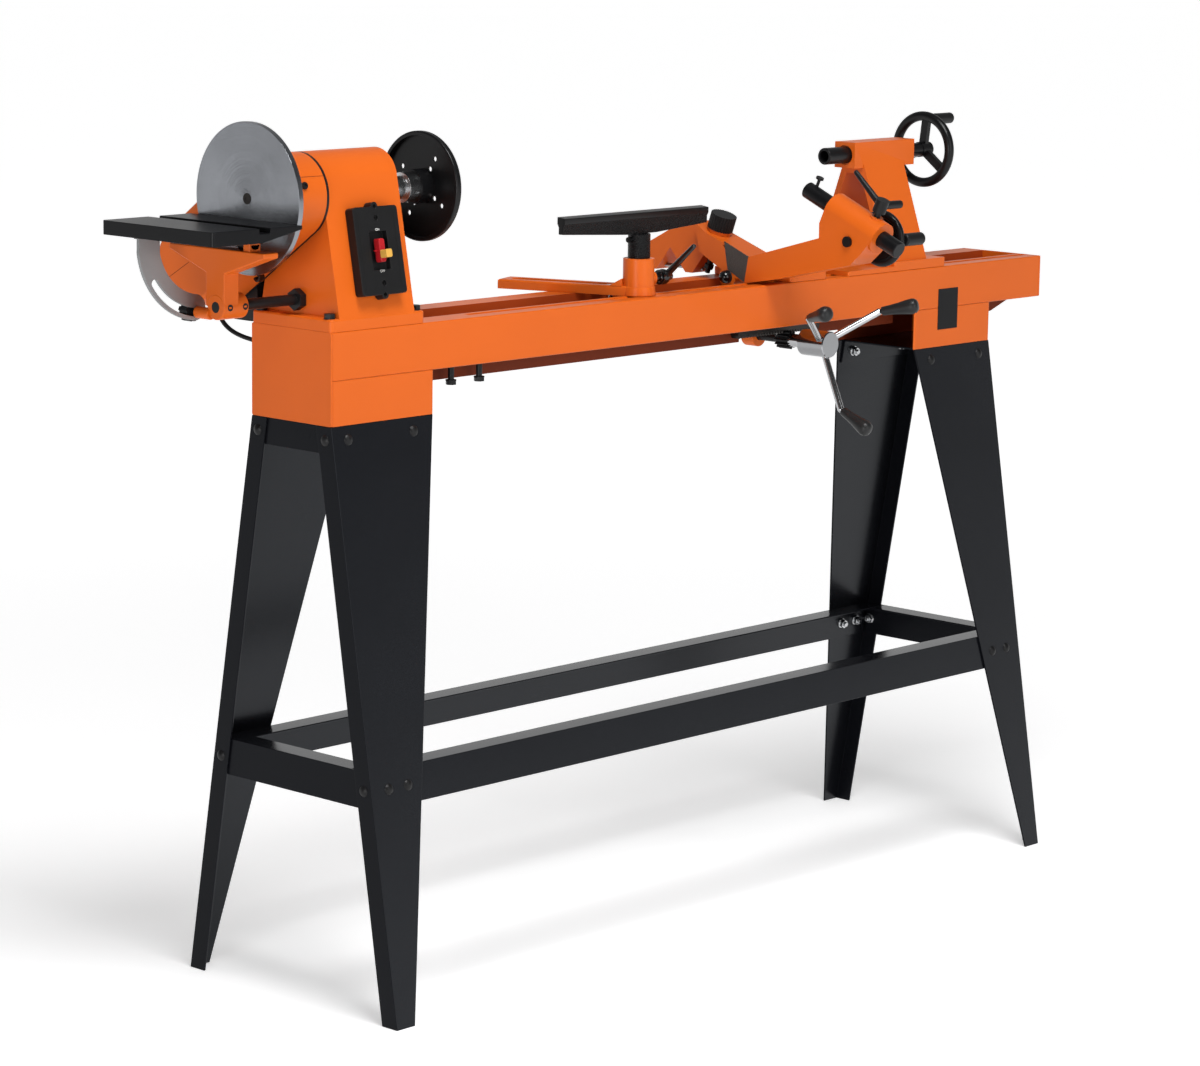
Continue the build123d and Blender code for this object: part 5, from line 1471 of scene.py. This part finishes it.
@dataclass
class SandingEnd:
    """Tilting table on its rod, with the yoke, the quadrant and its knob."""

    palette: Palette
    yoke_left: float = -851.0
    yoke_thick: float = 26.0
    stem_front: float = -16.5
    stem_rear: float = 20.5
    stem_top: float = 1016.0
    arm_end: float = 94.0
    arm_low: float = 1042.0
    arm_top: float = 1049.0
    lug_inner: float = 50.0
    lug: float = 13.0
    lug_radius: float = 10.0
    tilt_x: float = -838.0
    tilt_z: float = 1059.0
    boss_radius: float = 17.0
    boss_length: float = 44.0
    boss_screws: tuple[float, ...] = (11.0, 37.5)
    screw_radius: float = 4.4
    clamp_x: float = -848.0
    clamp_z: float = 961.0
    clamp_radius: float = 8.0
    clamp_end: float = 40.8
    tab_left: float = -947.0
    tab_right: float = -911.0
    tab_low: float = 1042.0
    tab_top: float = 1064.6
    tab_thick: float = 4.9
    tab_middle: float = 2.5
    flap_inset: float = 8.0
    flap_depth: float = 18.0
    flap_middle: float = 10.0
    flap_drop: float = 1.4
    flap: float = 2.4
    bolt_radius: float = 8.0
    bolt_head: float = 6.0
    bolt_socket: float = 3.4
    bolt_inset: float = 8.0
    washer_radius: float = 9.0
    washer: float = 1.6
    rod_gap: float = 0.4
    clamp_root: float = 0.3
    screw_sunk: float = 0.3
    screw_head: float = 0.5
    screw_socket: float = 2.4
    yoke_edge: float = 1.8
    table_edge: float = 0.7
    plate_edge: float = 0.5

    def yoke(self) -> None:
        """Makes the yoke: a stem on the rod with two arms under the table."""
        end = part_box("table_rod")[0].x / MM + self.rod_gap
        rod_z = frame_centre("table_rod").z / MM
        outline = (
            (self.stem_front, rod_z),
            (self.stem_front, self.stem_top),
            (-self.arm_end, self.arm_low),
            (-self.arm_end, self.arm_top),
            (self.arm_end, self.arm_top),
            (self.arm_end, self.arm_low),
            (self.stem_rear, self.stem_top),
            (self.stem_rear, rod_z),
        )
        piece = Piece("table_yoke_skin", "table_yoke")
        piece.plate([mm(self.yoke_left, y, z) for y, z in outline], mm(self.yoke_thick, 0.0, 0.0))
        near, far = mm(end, 0.0, rod_z), mm(end + self.boss_length, 0.0, rod_z)
        piece.rod(near, far, self.boss_radius, sides=40)
        near, far = mm(self.clamp_x, 0.0, self.clamp_z), mm(self.clamp_x, self.clamp_end, self.clamp_z)
        piece.rod(near.lerp(far, self.clamp_root), far, self.clamp_radius)
        for side in (-1.0, 1.0):
            inner = mm(self.tilt_x, side * self.lug_inner, self.tilt_z)
            outer = mm(self.tilt_x, side * (self.lug_inner + self.lug), self.tilt_z)
            piece.rod(inner, outer, self.lug_radius)
            drop = self.tilt_z - self.arm_low
            middle = (inner + outer) / 2 - Axis.UP.way * drop / 2 * MM
            piece.slab(middle, mm(2 * self.lug_radius, self.lug, drop))
        piece.soften(self.yoke_edge, segments=3)
        piece.done(self.palette.orange, instead=True)
        piece = Piece("yoke_set_screws", "table_yoke")
        for along in self.boss_screws:
            seat = mm(end + along, self.screw_sunk - self.boss_radius, rod_z)
            piece.screw(seat, -Axis.ACROSS.way, self.screw_radius, self.screw_head, self.screw_socket)
        piece.done(self.palette.plastic)

    def tab(self) -> None:
        """Makes the square top of the quadrant and the bolt under the table."""
        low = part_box("tilt_quadrant")[0].y / MM
        middle_x, wide = (self.tab_left + self.tab_right) / 2, self.tab_right - self.tab_left
        middle_z, high = (self.tab_low + self.tab_top) / 2, self.tab_top - self.tab_low
        piece = Piece("quadrant_top", "tilt_quadrant")
        piece.slab(mm(middle_x, low + self.tab_middle, middle_z), mm(wide, self.tab_thick, high))
        piece.slab(
            mm(middle_x + self.flap_inset / 2, low + self.flap_middle, self.tab_top - self.flap_drop),
            mm(wide - self.flap_inset, self.flap_depth, self.flap),
        )
        piece.soften(self.plate_edge)
        piece.done(self.palette.quadrant)
        piece = Piece("quadrant_bolt", "tilt_quadrant")
        seat = mm(self.tab_right - self.bolt_inset, low + self.flap_middle, self.tab_top - self.flap)
        down = -Axis.UP.way
        under = seat + down * self.washer * MM
        piece.rod(seat, under, self.washer_radius)
        piece.screw(under, down, self.bolt_radius, self.bolt_head, self.bolt_socket)
        piece.soften(self.plate_edge)
        piece.done(self.palette.gloss)

    def build(self) -> None:
        """Dresses the sanding end."""
        skin(self.palette.table, self.table_edge, "sanding_table")
        self.yoke()
        skin(self.palette.quadrant, self.plate_edge, "tilt_quadrant")
        self.tab()
        skin(self.palette.plastic, self.plate_edge, "table_rod", "quadrant_knob")


@dataclass
class Rest:
    """Tool rest, its post and the banjo."""

    palette: Palette
    post: tuple[float, float] = (-75.0, -42.0)
    angle: float = 21.0
    foot_radius: float = 25.5
    foot: float = 13.0
    web_start: float = 18.0
    web_end: float = 39.0
    web_rise: float = 12.0
    web: float = 9.0
    web_side: float = 17.4
    foot_lift: float = 0.2
    foot_taper: float = 1.5
    foot_edge: float = 1.2
    tip_depth: float = 1.5
    tip_share: float = 0.5
    lever_edge: float = 0.8
    knuckle_back: float = 17.0
    knuckle_radius: float = 11.6
    rough_reach: float = 14.0
    rough_rise: float = 26.0
    banjo_edge: float = 1.6
    rest_edge: float = 1.0
    collar_edge: float = 1.2

    def boss_foot(self) -> None:
        """Makes the foot of the banjo's boss and the two webs on its arm."""
        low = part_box("banjo")[0].z / MM
        piece = Piece("banjo_boss_foot", "banjo")
        base = mm(*self.post, low + self.foot_lift)
        top = base + Axis.UP.way * self.foot * MM
        piece.rod(base, top, self.foot_radius, sides=40, tip=self.foot_radius - self.foot_taper)
        turn = math.radians(self.angle)
        along = Vector((-math.sin(turn), math.cos(turn), 0.0))
        across = Vector((along.y, -along.x, 0.0))
        for side in (-1.0, 1.0):
            root = top + across * (side * self.web_side - self.web / 2) * MM
            corners = (
                root + along * self.web_start * MM,
                root + along * self.web_end * MM,
                root + along * self.web_start * MM + Axis.UP.way * self.web_rise * MM,
            )
            piece.plate(corners, across * self.web * MM)
        piece.soften(self.foot_edge)
        piece.done(self.palette.orange)

    def lever(self) -> None:
        """Makes the clamp lever with its round knuckle."""
        piece = Piece("rest_lever_skin", "rest_lever")
        piece.copied("rest_lever")
        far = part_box("rest_lever")[1].x
        tip = [vertex for vertex in piece.made.verts if vertex.co.x > far - self.tip_depth * MM]
        middle = sum((vertex.co for vertex in tip), Vector()) / len(tip)
        for vertex in tip:
            vertex.co = middle + (vertex.co - middle) * self.tip_share
        piece.soften(self.lever_edge)
        piece.ball(middle - Axis.ALONG.way * self.knuckle_back * MM, self.knuckle_radius)
        piece.done(self.palette.gloss, instead=True)

    def build(self) -> None:
        """Dresses the rest."""
        skin(self.palette.orange, self.banjo_edge, "banjo", segments=3)
        self.boss_foot()
        reach, high = self.rough_reach * MM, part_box("rest_collar")[1].z + self.rough_rise * MM
        axis = mm(*self.post, 0.0).to_2d()
        rough = Patch(
            self.palette.casting, lambda at, way: at.z < high and (at.to_2d() - axis).length < reach
        )
        skin(self.palette.black, self.rest_edge, "tool_rest", patches=(rough,))
        skin(self.palette.casting, self.collar_edge, "rest_collar")
        self.lever()
        dress(self.palette.zinc, "banjo_clamp", "banjo_shoe")


@dataclass
class Copier:
    """Copying carriage: saddle, rocking arm, tool bar and its controls."""

    palette: Palette
    recess_depth: float = 6.0
    recess_slack: float = 0.5
    arm_face: float = 164.0
    raw_corners: tuple[tuple[float, float], ...] = (
        (3.3, 993.9),
        (-45.3, 974.6),
        (-38.2, 935.2),
        (-4.5, 952.4),
    )
    raw_proud: float = 0.3
    raw_sunk: float = 1.0
    ball_radius: float = 9.6
    hub: tuple[float, float] = (252.0, 843.0)
    hub_front: float = -136.3
    hub_back: float = -86.0
    hub_radius: float = 20.0
    rod_place: float = -118.5
    rod_reach: float = 104.0
    rod_radius: float = 5.2
    lever_first: float = 29.0
    lever_lean: float = 24.0
    grip_lean: float = 64.0
    solid_first: float = 30.0
    solid_lean: float = 21.7
    solid_hub: float = 18.0
    solid_core: float = 0.4
    levers: int = 3
    flange_depth: float = 7.0
    flange_inset: float = 0.3
    hub_chamfer: float = 1.5
    hub_dome: float = 0.2
    hub_edge: float = 0.6
    collar_front: float = 11.0
    facing: float = 0.9
    arm_edge: float = 1.8
    saddle_edge: float = 1.4
    pin_edge: float = 0.4
    lever_edge: float = 0.8
    bar_edge: float = 0.5
    grip_outline: tuple[tuple[float, float], ...] = (
        (0.0, 0.0),
        (0.0, 6.4),
        (3.0, 7.0),
        (12.0, 7.4),
        (26.0, 8.8),
        (40.0, 11.0),
        (48.0, 11.9),
        (53.0, 10.8),
        (56.2, 7.7),
        (57.2, 3.8),
        (57.4, 0.0),
    )

    def raw_patch(self) -> None:
        """Makes the unpainted patch on the arm and the ball on its pivot."""
        piece = Piece("arm_raw_patch", "copy_arm")
        face = self.arm_face - self.raw_proud
        depth = mm(self.raw_proud + self.raw_sunk, 0.0, 0.0)
        piece.plate([mm(face, y, z) for y, z in self.raw_corners], depth)
        piece.done(self.palette.raw)
        piece = Piece("pivot_ball", "pivot_pin")
        low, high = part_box("pivot_pin")
        piece.ball(Vector((low.x, (low.y + high.y) / 2, (low.z + high.z) / 2)), self.ball_radius)
        piece.done(self.palette.gloss)

    def lever_way(self, count: int, lean: float, first: float | None = None) -> Vector:
        """Direction of a capstan lever.

        Args:
            count: number of the lever.
            lean: angle in degrees by which it leans out.
            first: angle of the first lever in degrees, or the drawn one.

        Returns:
            Unit vector from the hub outward.
        """
        start = math.radians(self.lever_first if first is None else first)
        turn = start + math.tau * count / self.levers
        tilt = math.radians(lean)
        return Vector((math.cos(turn) * math.cos(tilt), -math.sin(tilt), math.sin(turn) * math.cos(tilt)))

    def redrawn(self, arm: Vector) -> Vector:
        """Turns a point of a solid lever into the core of its drawn rod.

        Args:
            arm: way from the levers' root to the point.

        Returns:
            Way from the root to the moved point.
        """
        ways = [self.lever_way(n, self.solid_lean, self.solid_first) for n in range(self.levers)]
        count = max(range(self.levers), key=lambda n: arm.dot(ways[n]))
        along = arm.dot(ways[count])
        aside = (arm - ways[count] * along) * self.solid_core
        turn = ways[count].rotation_difference(self.lever_way(count, self.lever_lean))
        return turn @ (ways[count] * along + aside)

    def capstan(self, pinion: Patch) -> None:
        """Makes the capstan with its thick hub and pear-shaped grips.

        Args:
            pinion: faces of the capstan's dark pinion and shaft.
        """
        piece = Piece("capstan_skin", "capstan")
        piece.copied("capstan")
        back = self.hub_back * MM
        root = mm(self.hub[0], self.rod_place, self.hub[1])
        for vertex in piece.made.verts:
            middle = Vector((self.hub[0] * MM, vertex.co.y, self.hub[1] * MM))
            spoke = vertex.co - middle
            if spoke.length < self.solid_hub * MM:
                continue
            if abs(vertex.co.y - back) < self.flange_depth * MM:
                vertex.co = middle + spoke.normalized() * (self.hub_radius - self.flange_inset) * MM
            elif vertex.co.y < back:
                vertex.co = root + self.redrawn(vertex.co - root)
        piece.soften(self.hub_edge)
        reach = self.rod_reach * MM
        ends = [root + self.lever_way(n, self.lever_lean) * reach for n in range(self.levers)]
        for end in ends:
            piece.rod(root, end, self.rod_radius, sides=Piece.STEPS)
            piece.ball(end, self.rod_radius)
        piece.done(self.palette.chrome, (pinion,), instead=True)
        piece = Piece("capstan_hub", "capstan")
        near = mm(self.hub[0], self.hub_front, self.hub[1])
        length = self.hub_back - self.hub_front
        rim = self.hub_radius - self.hub_chamfer
        outline = (
            (0.0, 0.0),
            (0.0, rim),
            (self.hub_chamfer, self.hub_radius),
            (length - self.hub_chamfer, self.hub_radius),
            (length, rim),
            (length + self.hub_dome, 0.0),
        )
        piece.lathe(near, Axis.ACROSS.way, outline)
        piece.done(self.palette.hub)
        piece = Piece("capstan_grips_skin", "capstan_grips")
        for count, end in enumerate(ends):
            way = self.lever_way(count, self.grip_lean)
            piece.lathe(end + way * self.rod_radius * MM, way, self.grip_outline)
        piece.done(self.palette.grip, instead=True)

    def build(self) -> None:
        """Dresses the carriage."""
        floor, slack = (self.arm_face + self.recess_depth) * MM, self.recess_slack * MM
        recess = Patch(
            self.palette.raw, lambda at, way: way.x < -self.facing and abs(at.x - floor) < slack
        )
        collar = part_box("feed_rack")[0].y - self.collar_front * MM
        pinion = Patch(self.palette.plastic, lambda at, way: at.y > collar)
        skin(self.palette.orange, self.arm_edge, "copy_arm", patches=(recess,), segments=3)
        skin(self.palette.orange, self.saddle_edge, "carriage_saddle")
        skin(self.palette.plastic, self.pin_edge, "pivot_pin", "depth_knob")
        skin(self.palette.plastic, self.lever_edge, "head_lever", "feed_handle")
        skin(self.palette.black, self.bar_edge, "tool_bar", "feed_wheel")
        dress(self.palette.steel, "tracer_pin")
        self.raw_patch()
        self.capstan(pinion)


@dataclass
class Tailstock:
    """Tailstock with its quill and handwheel."""

    palette: Palette
    casting_edge: float = 1.8
    wheel_edge: float = 1.2
    handle_edge: float = 0.6
    quill_edge: float = 0.5

    def build(self) -> None:
        """Dresses the tailstock."""
        skin(self.palette.orange, self.casting_edge, "tailstock_body", segments=3)
        skin(self.palette.black, self.quill_edge, "quill")
        skin(self.palette.black, self.wheel_edge, "tailstock_wheel", segments=3)
        skin(self.palette.plastic, self.handle_edge, "tailstock_handle")
        dress(self.palette.zinc, "tailstock_clamp")


def main() -> None:
    """Builds the scene."""
    logging.basicConfig(level=logging.INFO)
    Studio().build()
    palette = Palette()
    for assembly in (Stand, Bed, Drive, Switch, SandingEnd, Rest, Copier, Tailstock):
        assembly(palette).build()


if __name__ == "__main__":
    main()
